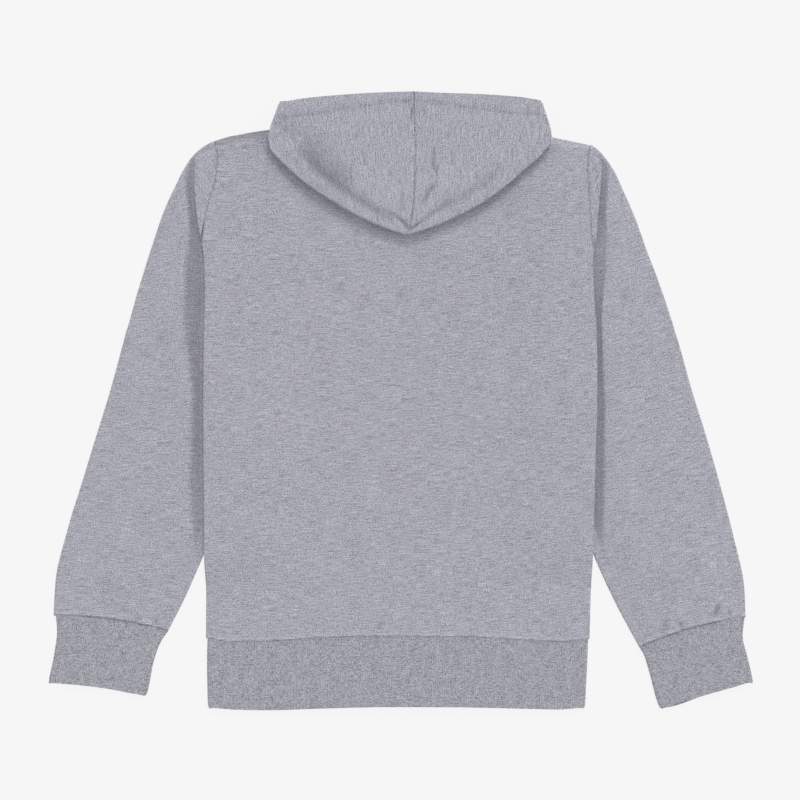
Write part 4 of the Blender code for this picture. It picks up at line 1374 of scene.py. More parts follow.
def flattened(
    row: Tube, out: int, sizes: Sequence[float], lap: float, upper_layer: Callable[..., list[Array]]
) -> list[Array]:
    """One section of a flattened tube, from the upper lip of its seam round to the lower one.

    Args:
        row: its edges.
        out: which side it lies on.
        sizes: heights of its upper and lower layer, and thickness of its cloth.
        lap: how much further down the lower layer lies than the upper one.
        upper_layer: gives the points between the two folds, from the inner one to the outer one.

    Returns:
        The section.
    """
    upper = half_turn(row.inner, -out, *sizes, (LIP, BEND, TOP))
    outer = half_turn(row.outer, out, *sizes, (TOP, BEND, SIDE, -BEND, UNDER))
    lower = half_turn(row.inner, -out, *sizes, (UNDER, -BEND, -LIP))
    layer = upper_layer(upper[-1], outer[0])
    return bowed([*upper, *layer, *outer, mix(outer[-1], lower[0], 0.5), *lower], row, lap)


@dataclass
class FrontPanel(SidePart):
    """One front, flat on the floor between the side seam and the zip."""

    lay: Lay
    flank: Flank
    kind: str = "front"
    spacing: float = 5.0
    zip_edge: float = 5.0
    stitched: float = 10.5
    hem_y: float = -272.0
    cut: Cut = Cut(235, 600, 0.72)

    def sections(self) -> list[list[Array]]:
        """Rows from the shoulder and neck down to the hem, each from the side seam to the zip."""
        lay, flank, out = self.lay, self.flank, self.flank.out
        pick = 0 if out < 0 else 1
        top = []
        for t in SHOULDER_ACROSS:
            x = mix(flank.head[0].front[0], flank.neck[0][0], t / 0.6)
            top.append((x, lay.to_shoulder(x, 0.0) - lay.seam_gap))
        top += [(x, y - lay.seam_gap) for x, y in flank.neck]
        top[0] = flank.head[0].front
        fractions = SHOULDER_ACROSS + (0.62, 0.7, 0.78, 0.88, 1.0)
        heights = lay.row_heights()
        bottom = heights[-1][pick]
        rows = []
        for index, row in enumerate(heights):
            in_head = index <= LAST_HEAD_ROW
            y_side = flank.head[index].front[1] if in_head else row[pick]
            v = (y_side - bottom) / (top[0][1] - bottom)
            outer = flank.head[index].front[0] if in_head else self.side_edge(y_side)
            points = []
            for t, above in zip(fractions, top):
                straight = mix(outer, out * self.zip_edge, t)
                x = mix(straight, above[0], v**4) if 0 < t < 1 else straight
                y = mix(mix(bottom, self.hem_y, ease(t * 3)), above[1], v) if t > 0 else y_side
                points.append(xyz((x, y), float(lay.front_layer(flank, x, y))))
            if index == 0:
                for point in points[:4]:
                    point[2] = lay.shoulder_front
                points[4][2] = mix(lay.shoulder_front, lay.floor_layer, 0.5)
            rows.append(points)
        return rows

    def stitch_line(self) -> Array:
        """The line, on the outer side, along which the panel is sewn to the zip's tape."""
        x, z = self.flank.out * self.stitched, self.lay.floor_layer - TERRY.thick * 0.4
        return np.array([(x, self.hem_y + 4, z), (x, self.flank.neck[-1][1] - 3, z)])

    def side_edge(self, y: float) -> float:
        """X of the panel's side seam edge."""
        gap = self.lay.bent_gap if y > -60 else self.lay.seam_gap
        return float(self.flank.seam(min(y, 50.0))) - self.flank.out * gap

    def sheets(self) -> list[Sheet]:
        """The panel."""
        return [Sheet(self.sections(), self.spacing)]


@dataclass
class Sleeve(SidePart):
    """A set-in sleeve, flattened, its head folded over itself beside the armhole seam."""

    lay: Lay
    flank: Flank
    kind: str = "sleeve"
    cut: Cut = Cut(345, 600, 0.7)
    puff: float = 2.2
    spacing: Point = (2.8, 5.0)
    crest_run: float = 60.0
    # painted shade at the bottom of the trough beside the body
    shade: float = 0.34
    ripple: Ripple = Ripple(0.3, 80, 11)
    lit_run: float = 5.0
    near: tuple[float, ...] = (0.007, 0.014, 0.021, 0.028, 0.035, 0.042)
    cuff_roll: SeamRoll = SeamRoll(0.9, 1.4, 1.4, 0.04, 0.7)

    def open_layer(self, inner: Array, outer: Array) -> list[Array]:
        """Eight columns of the upper layer: one under the fold, three up the trough's side."""
        shares = []
        for step in (-0.5, 0.0, 0.5):
            y = inner[1] if not shares else mix(inner[1], outer[1], shares[-1])
            reach, soft, _ = self.flank.trough_at(y)
            place = self.flank.cover_edge(y) + self.flank.out * (reach + step * soft)
            least = shares[-1] + 0.01 if shares else 0.12
            shares.append(float(np.clip((place - inner[0]) / (outer[0] - inner[0]), least, 0.7)))
        rest = [mix(shares[-1], 1.0, t) for t in (0.2, 0.42, 0.64, 0.84)]
        return [mix(inner, outer, t) for t in (shares[0] / 2, *shares, *rest)]

    def trough(self, x: Array, y: Array) -> Array:
        """1 at the bottom of the trough beside the fold that lies on the sleeve, 0 outside it."""
        reach, soft, depth = self.flank.trough_at(y)
        return depth * (1 - ease((self.flank.past_cover(x, y) - reach) / soft + 0.5))

    def ridge(self, x: Array, y: Array) -> Array:
        """1 along the trough's far side, falling away to 0 beyond."""
        reach, _, depth = self.flank.trough_at(y)
        return depth * (1 - ease((self.flank.past_cover(x, y) - reach) / self.crest_run))

    def puff_up(self, points: Sequence[Array], inner: float) -> None:
        """Raises the upper layer between the body's edge and the sleeve's outer edge."""
        outer = points[-1][0]
        for point in points:
            clear = self.flank.past_body(point[0], point[1])
            ends = ease(abs(point[0] - inner) / 25) * ease(abs(outer - point[0]) / 30 + 0.2)
            point[2] += self.puff * ease(clear / 35) * ends

    def upper_layer(self, inner: Array, outer: Array) -> list[Array]:
        """The upper layer below the underarm, with columns close together beside its seam."""
        near = [mix(inner, outer, t) for t in self.near]
        top = self.open_layer(near[-1], outer)
        self.puff_up(top, near[-1][0])
        return near + top

    def head_section(self, row: Head) -> list[Array]:
        """One section of the head, from the back armhole seam round to the front one."""
        lay, out = self.lay, self.flank.out
        bx, by = row.back
        strip = lay.back_layer(bx, by)
        front_z = float(lay.front_layer(self.flank, *row.front))
        front = xyz((row.front[0] + out * lay.seam_gap, row.front[1]), front_z)
        turn = (TOP, BEND, SIDE, -BEND, UNDER)
        if row.kind is PLAIN:
            top = mix(strip, lay.sleeve_top, ease(abs(row.outer[0] - bx) / 24))
            outer = half_turn(row.outer, out, top, lay.floor_layer, TERRY.thick, turn)
            start = xyz((bx + out * lay.seam_gap, by), strip)
            points = [start, *along(start, outer[0], 16)]
            return points + outer + along(outer[-1], front, 3) + [front]
        outer = half_turn(row.outer, out, lay.sleeve_top, lay.floor_layer, TERRY.thick, turn)
        turn = (TOP, SIDE, UNDER)
        fold = half_turn(row.hidden, -out, lay.under_layer, lay.sleeve_top, TERRY.thick, turn)
        if row.kind is FOLDED:
            under = strip - lay.fold_height(by)
            fold[0][2] = under
            edge = half_turn(row.fold, out, strip, under, TERRY.thick, turn, lay.snug)
            gap = lay.seam_gap if abs(row.fold[0] - bx) > 5 else lay.bent_gap
            start = xyz((bx + out * gap, by), strip)
            points = [start, mix(start, edge[0], 0.9), *edge, mix(edge[-1], fold[0], 0.5), *fold]
        elif row.kind is ROUND:
            angles = (-3 * LIP, math.radians(-55), math.radians(-75), UNDER)
            high = lay.under_layer + lay.fold_height(by)
            edge = half_turn(row.fold, out, high, lay.under_layer, TERRY.thick, angles)
            points = edge + along(edge[-1], fold[0], 2) + fold
        else:
            start = xyz((bx - out * lay.bent_gap, by), lay.under_layer)
            points = [start, *along(start, fold[0], 5), *fold]
        top = self.open_layer(points[-1], outer[0])
        self.puff_up(top, points[-1][0])
        return points + top + outer + along(outer[-1], front, 3) + [front]

    def tube_section(self, row: Tube) -> list[Array]:
        """One section below the underarm."""
        lay = self.lay
        sizes = (lay.sleeve_top, lay.floor_layer, TERRY.thick)
        lap = lay.seam_lap if row is self.flank.sleeve[-1] else 0.0
        return flattened(row, self.flank.out, sizes, lap, self.upper_layer)

    def sheets(self) -> list[Sheet]:
        """The sleeve, with its trough, ridge, creases and seams, and painted shade in the trough, in pressed
        creases and along its seams.
        """
        sections = [self.head_section(row) for row in self.flank.head]
        sections += [self.tube_section(row) for row in self.flank.sleeve]
        seams = Seams(last=CLOSE_ROWS, left=CLOSE_ROWS)
        sheet = Sheet(sections, self.spacing, seams=seams)
        clear = self.flank.past_body(sheet.x, sheet.y)
        open_part = sheet.between(8.2, 17.6, 0.8) * ease((clear + 2) / 14)
        sheet.press([self.ripple], open_part)
        # creases pressed down get painted shade
        sheet.press(self.flank.sleeve_creases, open_part, 0.14)
        layer = sheet.between(8.0, 17.0, 0.8)
        trough = self.trough(sheet.x, sheet.y)
        sheet.lift(self.flank.crest * (self.ridge(sheet.x, sheet.y) - trough) * layer)
        beside = self.flank.past_cover(sheet.x, sheet.y)
        # painted shade in the trough beside the edge that lies on the sleeve
        sheet.painted_shade += self.shade * trough * layer * ease((beside - self.flank.lit) / self.lit_run)
        # the cuff seam's roll, with a painted shade line along it
        sheet.draw_in(self.cuff_roll, sheet.from_edge(True), sheet.between(8.0, 18.0, 0.6))
        above = sheet.above_fold()
        sheet.draw_in(ARMHOLE_ROLL, sheet.from_edge(False, 1), above, above)
        sheet.grains.append((-1.0, 3.2, self.flank.strip_grain))
        return [sheet]


@dataclass
class Cuff(SidePart):
    """A cuff of doubled rib, flattened."""

    lay: Lay
    flank: Flank
    kind: str = "cuff"
    cloth: Cloth = RIB
    cut: Cut = Cut(240, 78, 0.95)
    puff: float = 0.6
    spacing: float = 2.2
    corner: tuple[Point, ...] = ((0.92, 0.0), (0.955, 0.25), (0.982, 0.9), (1.0, 1.8))
    # the seam sinks a little and gets a painted shade line along it
    seam_roll: SeamRoll = SeamRoll(-0.3, 0.0, 1.4, 0.08, 1.2, 0.08)

    def rounded(self, first: Tube, last: Tube) -> list[Tube]:
        """The rows with which the cuff's lower corners are rounded."""
        rows = []
        for t, inset in self.corner:
            inner, outer = (
                (mix(a[0], b[0], t), mix(a[1], b[1], t))
                for a, b in ((first.inner, last.inner), (first.outer, last.outer))
            )
            share = inset / math.dist(inner, outer)
            ends = (
                tuple(mix(np.array(near), np.array(far), part))
                for near, far, part in ((inner, outer, 1.3 * share), (outer, inner, 0.4 * share))
            )
            rows.append(Tube(*ends, mix(first.bow, last.bow, t)))
        return rows

    def upper_layer(self, inner: Array, outer: Array) -> list[Array]:
        """The upper layer, puffed up a little between its folds."""
        layer = [mix(inner, outer, t) for t in (0.2, 0.4, 0.6, 0.8)]
        for point, share in zip(layer, (0.5, 1.0, 1.0, 0.5)):
            point[2] += self.puff * share
        return layer

    def section(self, row: Tube) -> list[Array]:
        """One section of the cuff."""
        sizes = (self.lay.cuff_top, RIB.thick / 2, RIB.thick)
        lap = self.lay.seam_lap if row is self.flank.cuff[0] else 0.0
        return flattened(row, self.flank.out, sizes, lap, self.upper_layer)

    def sheets(self) -> list[Sheet]:
        """The cuff, drawn in at its seam, with painted shade along the seam."""
        seams = Seams(first=CLOSE_ROWS, last=CLOSE_ROWS)
        rows = [*self.flank.cuff[:-1], *self.rounded(*self.flank.cuff[-2:])]
        sheet = Sheet([self.section(row) for row in rows], self.spacing, seams=seams)
        sheet.draw_in(self.seam_roll, sheet.from_edge(False), sheet.between(1.6, 7.4, 0.6))
        return [sheet]


@dataclass
class HemBand(SewnPart):
    """The band of doubled rib round the hem, open at the zip."""

    lay: Lay
    node: str = "hem_band"
    cloth: Cloth = RIB
    grain: Grain = Grain(0.0)
    zip_edge: float = 5.3
    front_seam: float = -272.0
    front_bottom: float = -352.0
    spacing: float = 2.6
    rows: tuple[Point, ...] = (
        (0.0, 1.8), (0.33, 0.4), (0.67, 0.0), (0.96, 0.0), (0.976, 0.25), (0.99, 0.9), (1.0, 1.7)
    )
    cut: Cut = Cut(866, 80, 0.98)
    ripple: Ripple = Ripple(0.14, 60, 21)
    # the seam sinks a little and gets a painted shade line along it
    seam_roll: SeamRoll = SeamRoll(-0.3, 0.0, 1.4, 0.16, 1.2, 0.08)

    def sections(self) -> list[list[Array]]:
        """Rows from the seam down, each from the zip round the left side and back to the zip."""
        lay = self.lay
        rows = []
        for t, inset in self.rows:
            ends = {}
            for flank, x in ((LEFT, HEM[0].x), (RIGHT, HEM[-1].x)):
                y = mix(hem_line(x), hem_line(x, "bottom"), t)
                edge = (float(flank.fold(y)) - flank.out * inset, y)
                bottom = mix(self.front_seam, self.front_bottom, t)
                zip_end = xyz((flank.out * self.zip_edge, bottom), RIB.thick / 2)
                angles = (UNDER, -BEND, SIDE, BEND, TOP)
                turn = half_turn(edge, flank.out, lay.cuff_top, RIB.thick / 2, RIB.thick, angles)
                front = [zip_end, *along(zip_end, turn[0], 3)]
                for point in front:
                    point[1] -= lay.bent_gap * (1 - t)
                for point in turn:
                    point[1] -= lay.seam_gap * (1 - t)
                ends[flank.name] = front + turn
            low, high = ends["left"][-1], ends["right"][-1]
            back = []
            for share in ACROSS:
                x = mix(low[0], high[0], share)
                y = mix(hem_line(x) - lay.seam_gap, hem_line(x, "bottom"), t)
                edge_run = min(x - low[0], high[0] - x)
                back.append(xyz((x, y), mix(low[2], lay.hem_back, lay.inwards(edge_run))))
            rows.append(ends["left"] + back + ends["right"][::-1])
        return rows

    def sheets(self) -> list[Sheet]:
        """The band, drawn in at its seam, with painted shade along the seam."""
        seams = Seams(first=CLOSE_ROWS, last=CLOSE_ROWS)
        sheet = Sheet(self.sections(), self.spacing, seams=seams)
        open_part = sheet.between(7.6, sheet.across[-1] - 7.6, 0.6)
        sheet.draw_in(self.seam_roll, sheet.from_edge(False), open_part)
        sheet.press([self.ripple], open_part)
        return [sheet]


@dataclass
class HoodHalf(SidePart):
    """Half of the hood: a bag folded flat over the back, and a band round the neck."""

    lay: Lay
    flank: Flank
    kind: str = "hood"
    cut: Cut = Cut(270, 350, 0.48)
    spacing: float = 2.4
    seam_bow: float = 6.0
    bag_rise: float = 3.4
    bag_puff: float = 2.2
    puff_runs: Point = (45.0, 60.0)
    hover: float = 5.0
    hover_run: float = 75.0
    lower_stations: tuple[float, ...] = (0.35, 0.7, 1.0)
    upper_stations: tuple[float, ...] = (0.0, 0.008, 0.14, 0.38, 0.64, 0.86, 1.0)
    seam_share: float = 0.75  # of the seam gap, left on each side of the centre seam
    corner_way: Point = (0.94, 0.34)
    corner_low: float = 3.2
    corner_bulge: float = 2.0
    neck_end: float = 3.4
    ripple: Ripple = Ripple(0.3, 60, 31)
    hem_dips: tuple[Point, ...] = ((-0.5, 1.1), (-0.4, 4.5))
    # painted shade along the centre seam
    centre_shade: float = 0.42
    centre_width: float = 0.7
    collar_y: float = 353.0  # above which the centre seam's painted shade is at its widest
    collar_run: float = 34.0
    band_columns: int = 15
    stitch_line: Array | None = field(default=None, init=False)

    def path(self, index: int, row: Bag) -> list[Array]:
        """One path over the bag: collar fold, lower layer, bottom fold, upper layer, rim."""
        lay = self.lay
        collar, bottom, rim = (xyz(place, 0.0) for place in (row.collar, row.bottom, row.rim))
        lean = self.seam_bow * (1 - index / (len(self.flank.bag) - 1)) ** 2
        down = (bottom - collar) / np.linalg.norm(bottom - collar)
        top_z = lay.bag_floor(collar[0], collar[1])
        radius = (top_z - lay.shoulder_back) / 2
        points = [
            xyz(collar, lay.shoulder_back),
            xyz(collar - down * radius, lay.shoulder_back + radius),
            xyz(collar, top_z),
        ]
        inset = TERRY.thick / 2 + self.bag_rise / 2 * lay.snug
        low_end = bottom - down * inset
        depth = float(np.linalg.norm(bottom - collar))
        for t in self.lower_stations:
            place = mix(collar, low_end, t)
            clear = self.clear_of_back((1 - t) * depth)
            points.append(xyz(place, lay.bag_floor(place[0], place[1]) + clear))
        turn = bottom - down * (TERRY.thick / 2)
        points.append(xyz(turn, points[-1][2] + self.bag_rise / 2))
        up = (rim - bottom) / np.linalg.norm(rim - bottom)
        start = bottom + up * inset
        length = float(np.linalg.norm(rim - start))
        first_run, last_run = self.puff_runs
        for t in self.upper_stations:
            place = mix(start, rim, t)
            place[0] += lean * math.sin(math.pi * t**0.6)
            puff = self.bag_puff * ease(t * length / first_run)
            puff *= ease((1 - t) * length / last_run + 0.25)
            puff *= 0.45 + 0.55 * ease(index / 2)
            high = self.bag_rise + puff + self.clear_of_back(t * length)
            points.append(xyz(place, lay.bag_floor(place[0], place[1]) + high))
        if index == 0:
            for point in points:
                point[0] += self.flank.out * lay.seam_gap * self.seam_share
        return points

    def clear_of_back(self, distance: float) -> float:
        """How far the bag springs clear of the back, at a distance from its bottom fold."""
        return self.hover * (1 - ease(distance / self.hover_run))

    def corner_path(self, count: int) -> list[Array]:
        """The rim going down round the corner of the hood."""
        x, y = self.flank.corner
        low, high = self.corner_low, self.lay.bag_floor(x, y) + self.bag_rise
        radius = (high - low) / 2
        out = np.array((self.flank.out * self.corner_way[0], self.corner_way[1], 0.0))
        points = []
        for i in range(count):
            angle = math.pi * (i / (count - 1) - 0.5)
            bulge = out * (self.corner_bulge * math.cos(angle) - TERRY.thick)
            points.append(xyz((x, y), low + radius + radius * math.sin(angle)) + bulge)
        return points

    def sheets(self) -> list[Sheet]:
        """The bag, with its creases, seams and their painted shade, and the two stretches of the neck band.
        """
        lay, flank = self.lay, self.flank
        bag = [self.path(i, row) for i, row in enumerate(flank.bag)]
        bag.append(self.corner_path(len(bag[0])))
        gap = lay.seam_gap
        necks = [xyz(row.neck, lay.shoulder_back) + np.array((0, gap, 0)) for row in flank.bag]
        necks[0][0] += flank.out * gap * self.seam_share
        end = xyz(flank.neck[0], self.neck_end)
        necks.append(end + np.array((-flank.out * gap * 2, gap * 4, 0)))
        band_end = (bag[-1][0], necks[-1])
        fronts = []
        for (nx, ny), rim in zip(flank.neck[1:], flank.rim):
            neck = xyz((nx - flank.out * gap * 2, ny + gap), lay.floor_layer)
            fronts.append((xyz(rim, lay.floor_layer), neck))
        seams = Seams(first=CLOSE_ROWS, right=CLOSE_ROWS)
        bag_sheet = Sheet(bag, self.spacing, seams=seams)
        back_band = self.band(bag_sheet.points[:, 0], necks, bag_sheet.down)
        front_band = self.front_band(np.array([band_end, *fronts]))
        upper = bag_sheet.between(6.5, bag_sheet.across[-1] + 2, 0.8)
        bag_sheet.press([self.ripple], upper)
        # creases pressed down get painted shade
        bag_sheet.press(flank.hood_creases, upper, 0.2)
        deep = bag_sheet.between(7.2, bag_sheet.across[-1] + 2, 1.5)
        bag_sheet.lift(-(0.5 + 1.0 * deep) * bell(bag_sheet.from_edge(False), 0.9) * upper)
        # painted shade along the centre seam, wider towards the collar
        wider = 1 + 0.8 * (1 - ease((self.collar_y - bag_sheet.y) / self.collar_run))
        from_seam = bag_sheet.from_edge(False)
        bag_sheet.painted_shade += self.centre_shade * bell(from_seam, self.centre_width * wider) * upper
        # the hem's stitched line dips, with painted shade in the dip
        dips = [Crease(flank.hood_hem, rise, width, 0.02, 0.02) for rise, width in self.hem_dips]
        bag_sheet.press(dips, upper, 0.18)
        self.stitch_line = bag_sheet.on_top(flank.hood_hem, 7.5, TERRY.thick / 2)
        return [bag_sheet, back_band, front_band]

    def band(self, joined: Array, necks: Array, down: Array) -> Sheet:
        """The neck band behind the hood.

        Args:
            joined: points where it joins the bag, row by row.
            necks: places of the neck seam, one for each path over the bag.
            down: the rows, counted in paths.

        Returns:
            The band, which shares its first column with the bag.
        """
        known = run_of(necks)
        seam = monotone(np.array(necks), known, np.interp(down, np.arange(len(known)), known))
        return Sheet.ruled(joined, seam, self.band_columns)

    def front_band(self, ends: Array) -> Sheet:
        """The neck band from the hood's corner round to the zip.

        Args:
            ends: for each section, its point on the rim and its point on the neck seam.

        Returns:
            The band, whose first row is the last row of the band behind the hood.
        """
        gaps = np.linalg.norm(np.diff(ends, axis=0), axis=2)
        lengths = (gaps.mean(1), gaps.max(1))
        known, at, _ = stations_of(lengths, self.spacing, 1, ((), ()))
        fine = monotone(ends.reshape(len(ends), -1), known, at).reshape(len(at), 2, 3)
        return Sheet.ruled(fine[:, 0], fine[:, 1], self.band_columns)


@dataclass
class Zip:
    """The closed zip between the fronts: tapes, coils, bottom box, slider and pull tab."""

    lay: Lay
    woven: bpy.types.Material
    nylon: bpy.types.Material
    metal: bpy.types.Material
    low_chain: float = 3.0
    high_chain: float = 4.4
    rise_start: float = 140.0
    rise_run: float = 50.0
    bottom: float = -352.0
    tape_end: float = 258.0
    tape_columns: tuple[float, ...] = (12.5, 7.5, 3.3)
    stations: tuple[float, ...] = (-300, -271, -254, -150, 0, 120, 142, 165, 190, 215, 237)
    band_top: float = -271.0
    band_run: float = 17.0
    slider: Point = (226.5, 237.5)
    hinge: Point = (229.5, 1.75)
    box_length: float = 9.5
    pitch: float = 1.25
    thread: float = 0.28
    coil_centre: float = 1.18
    coil_half: Point = (1.35, 0.5)
    coil_steps: int = 8
    coil_sides: int = 6
    plate_half: float = 4.5
    plates: tuple[Point, ...] = ((2.5, 3.4), (5.4, 6.3))
    nose: float = 0.72  # breadth of a plate's lower end, as a share
    flange: float = 0.35
    flange_heights: Point = (3.2, 3.9)
    wedge: Sequence[float] = (1.3, 3.1, 5.7)  # half its breadth, and its lowest and highest
    bridge_half: float = 0.95
    bridge: tuple[Sequence[float], ...] = (  # ends along the zip from the hinge, and heights
        (-2.1, -1.1, 0.2, 2.8),
        (3.9, 4.9, 0.2, 2.8),
        (-1.6, 4.4, 0.25, 1.0),
    )
    cut: Cut = Cut(610, 12, 0.9)

    def chain_height(self, y: Any) -> Any:
        """Middle of the coils, which rise where the slider and its tab lie under them."""
        return mix(self.low_chain, self.high_chain, ease((y - self.rise_start) / self.rise_run))

    def tape(self, flank: Flank) -> None:
        """Makes the tape on one side."""
        rows = []
        on_panel = TERRY.thick + self.lay.seam_gap + TAPE.thick / 2
        on_band = RIB.thick + self.lay.seam_gap + TAPE.thick / 2
        for y in (self.bottom, *self.stations, self.tape_end):
            low = mix(on_band, on_panel, float(ease((y - self.band_top) / self.band_run)))
            inner = max(float(self.chain_height(y)), low)
            places = zip(self.tape_columns, (low, low, inner))
            rows.append([xyz((flank.out * x, y), z) for x, z in places])
        piece = sew("zip_tape_" + flank.name, [Sheet(rows, 3.0)], TAPE, Grain(90.0), self.woven)

    def coil(self, bm: bmesh.types.BMesh, out: int) -> None:
        """Adds one coil: a flattened helix of nylon thread, its heads over the middle.

        Args:
            bm: the mesh to add it to.
            out: 1 for the coil at +X, -1 for the other.
        """
        low, high = self.bottom + self.box_length + 0.5, self.slider[0] - 0.5
        turns = round((high - low) / self.pitch) - 1
        rings = turns * self.coil_steps + 1
        angle = np.linspace(0, 2 * math.pi * turns, rings)
        y = low + self.pitch * (angle / (2 * math.pi) + (0.5 if out > 0 else 0.0))
        middle = np.stack([
            out * (self.coil_centre - self.coil_half[0] * np.cos(angle)),
            y,
            self.chain_height(y) + self.coil_half[1] * np.sin(angle),
        ], axis=1)
        ahead = np.gradient(middle, axis=0)
        ahead /= np.linalg.norm(ahead, axis=1)[:, None]
        side = np.cross(ahead, (0.0, 1.0, 0.0))
        side /= np.linalg.norm(side, axis=1)[:, None]
        third = np.cross(ahead, side)
        round_thread = np.linspace(0, 2 * math.pi, self.coil_sides + 1)[None, :, None]
        points = middle[:, None] + self.thread * (
            np.cos(round_thread) * side[:, None] + np.sin(round_thread) * third[:, None]
        )
        made = bmesh.ops.create_grid(
            bm, x_segments=self.coil_sides, y_segments=rings - 1, size=1.0
        )
        for vert, point in zip(made["verts"], points.reshape(-1, 3)):
            vert.co = Vector(point) * MM
        bmesh.ops.remove_doubles(bm, verts=made["verts"], dist=0.00001)

    def chain(self) -> None:
        """Makes the two coils, hooked into each other along the middle."""
        bm = bmesh.new()
        for flank in FLANKS:
            self.coil(bm, flank.out)
        bmesh.ops.recalc_face_normals(bm, faces=bm.faces)
        piece = object_from("zip_coils", bm, self.nylon)
        finish_piece(piece, "zip_chain", Body.GARMENT)

    def box(self) -> None:
        """Makes the box at the bottom, with the slot that the pin goes into."""
        low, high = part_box("zip_box")
        middle = (low[0] + high[0]) / 2
        bm = bmesh.new()
        block(bm, low, (middle - 0.0002, high[1], high[2]), 0.0005)
        block(bm, (middle + 0.0002, low[1], low[2]), high, 0.0005)
        block(bm, (low[0] + 0.001, low[1] + 0.001, low[2] + 0.0004),
              (high[0] - 0.001, low[1] + 0.006, high[2] - 0.0004), 0.0003)
        piece = object_from("zip_bottom_box", bm, self.metal)
        finish_piece(piece, "zip_box", Body.GARMENT)

    def runner(self) -> None:
        """Makes the slider: two shield-shaped plates on a wedge, and the bridge for the tab."""
        low, high = (Vector(corner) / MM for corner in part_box("zip_slider"))
        half, flange = self.plate_half, self.flange
        bm = bmesh.new()
        for bottom, top in self.plates:
            plate = block(bm, Vector((-half, low.y, bottom)) * MM, Vector((half, high.y, top)) * MM, 0)
            for vert in plate:
                if vert.co.y < (low.y + 1) * MM:
                    vert.co.x *= self.nose
            edges = {edge for vert in plate for edge in vert.link_edges}
            upright = [e for e in edges if abs(e.verts[0].co.z - e.verts[1].co.z) > 0.0005]
            bevel(bm, upright, 0.0016, 4)
        bottom, top = self.flange_heights
        for out in (-1, 1):
            side, other = out * half - flange, out * half + flange - flange * out * 2
            block(bm, Vector((side, low.y + 5, bottom)) * MM,
                  Vector((other, high.y - 0.5, top)) * MM, 0.0001)
        breadth, bottom, top = self.wedge
        block(bm, Vector((-breadth, high.y - 5, bottom)) * MM,
              Vector((breadth, high.y - 0.6, top)) * MM, 0.0004)
        for near, far, bottom, top in self.bridge:
            start = Vector((-self.bridge_half, self.hinge[0] + near, bottom)) * MM
            block(bm, start, Vector((self.bridge_half, self.hinge[0] + far, top)) * MM, 0.0003)
        piece = object_from("zip_runner", bm, self.metal)
        finish_piece(piece, "zip_slider", Body.GARMENT)

    def tab(self) -> None:
        """Makes the pull tab, hooked on the bridge by its eye."""
        low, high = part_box("zip_pull")
        eye_half, eye_end, rim = 1.5 * MM, high[1] - 6.05 * MM, 0.9 * MM
        bm = bmesh.new()
        grid = bmesh.ops.create_grid(bm, x_segments=3, y_segments=3, size=1.0)["verts"]
        xs = (low[0], -eye_half, eye_half, high[0])
        ys = (low[1], eye_end, high[1] - rim, high[1])
        for i, vert in enumerate(grid):
            vert.co = Vector((xs[i % 4], ys[i // 4], low[2]))
        bm.faces.ensure_lookup_table()
        bmesh.ops.delete(bm, geom=[bm.faces[4]], context="FACES_ONLY")
        raised = bmesh.ops.extrude_face_region(bm, geom=list(bm.faces))["geom"]
        verts = [g for g in raised if isinstance(g, bmesh.types.BMVert)]
        bmesh.ops.translate(bm, verts=verts, vec=(0, 0, high[2] - low[2]))
        bmesh.ops.recalc_face_normals(bm, faces=bm.faces)
        corners = [
            e for e in bm.edges
            if abs(e.verts[0].co.z - e.verts[1].co.z) > 0.0001 and abs(e.verts[0].co.x) > 0.003
        ]
        lower = [e for e in corners if e.verts[0].co.y < low[1] + 0.001]
        bevel(bm, lower, 0.0024, 5)
        sharp = [e for e in bm.edges if e.is_manifold and e.calc_face_angle() > math.radians(50)]
        bevel(bm, sharp, 0.00018, 2)
        piece = object_from("zip_pull_tab", bm, self.metal)
        finish_piece(piece, "zip_pull", Body.PULL_TAB)


def bevel(bm: bmesh.types.BMesh, edges: Sequence[Any], width: float, segments: int) -> None:
    """Rounds edges of a mesh, by a width in metres."""
    bmesh.ops.bevel(
        bm,
        geom=list(edges),
        offset=width,
        offset_type="OFFSET",
        affect="EDGES",
        segments=segments,
        profile=0.5,
        material=-1,
    )


def block(bm: bmesh.types.BMesh, low: Sequence[float], high: Sequence[float], soft: float) -> list[Any]:
    """Adds a block with rounded edges.

    Args:
        bm: the mesh to add it to.
        low: its lowest corner, in metres.
        high: its highest corner.
        soft: how far its edges are rounded, or 0 to leave them sharp.

    Returns:
        Its corners, where it is left sharp.
    """
    corners = bmesh.ops.create_cube(bm, size=1.0)["verts"]
    for vert in corners:
        vert.co = Vector(mix(a, b, c + 0.5) for a, b, c in zip(low, high, vert.co))
    if soft:
        bevel(bm, {edge for vert in corners for edge in vert.link_edges}, soft, 2)
        return []
    return corners


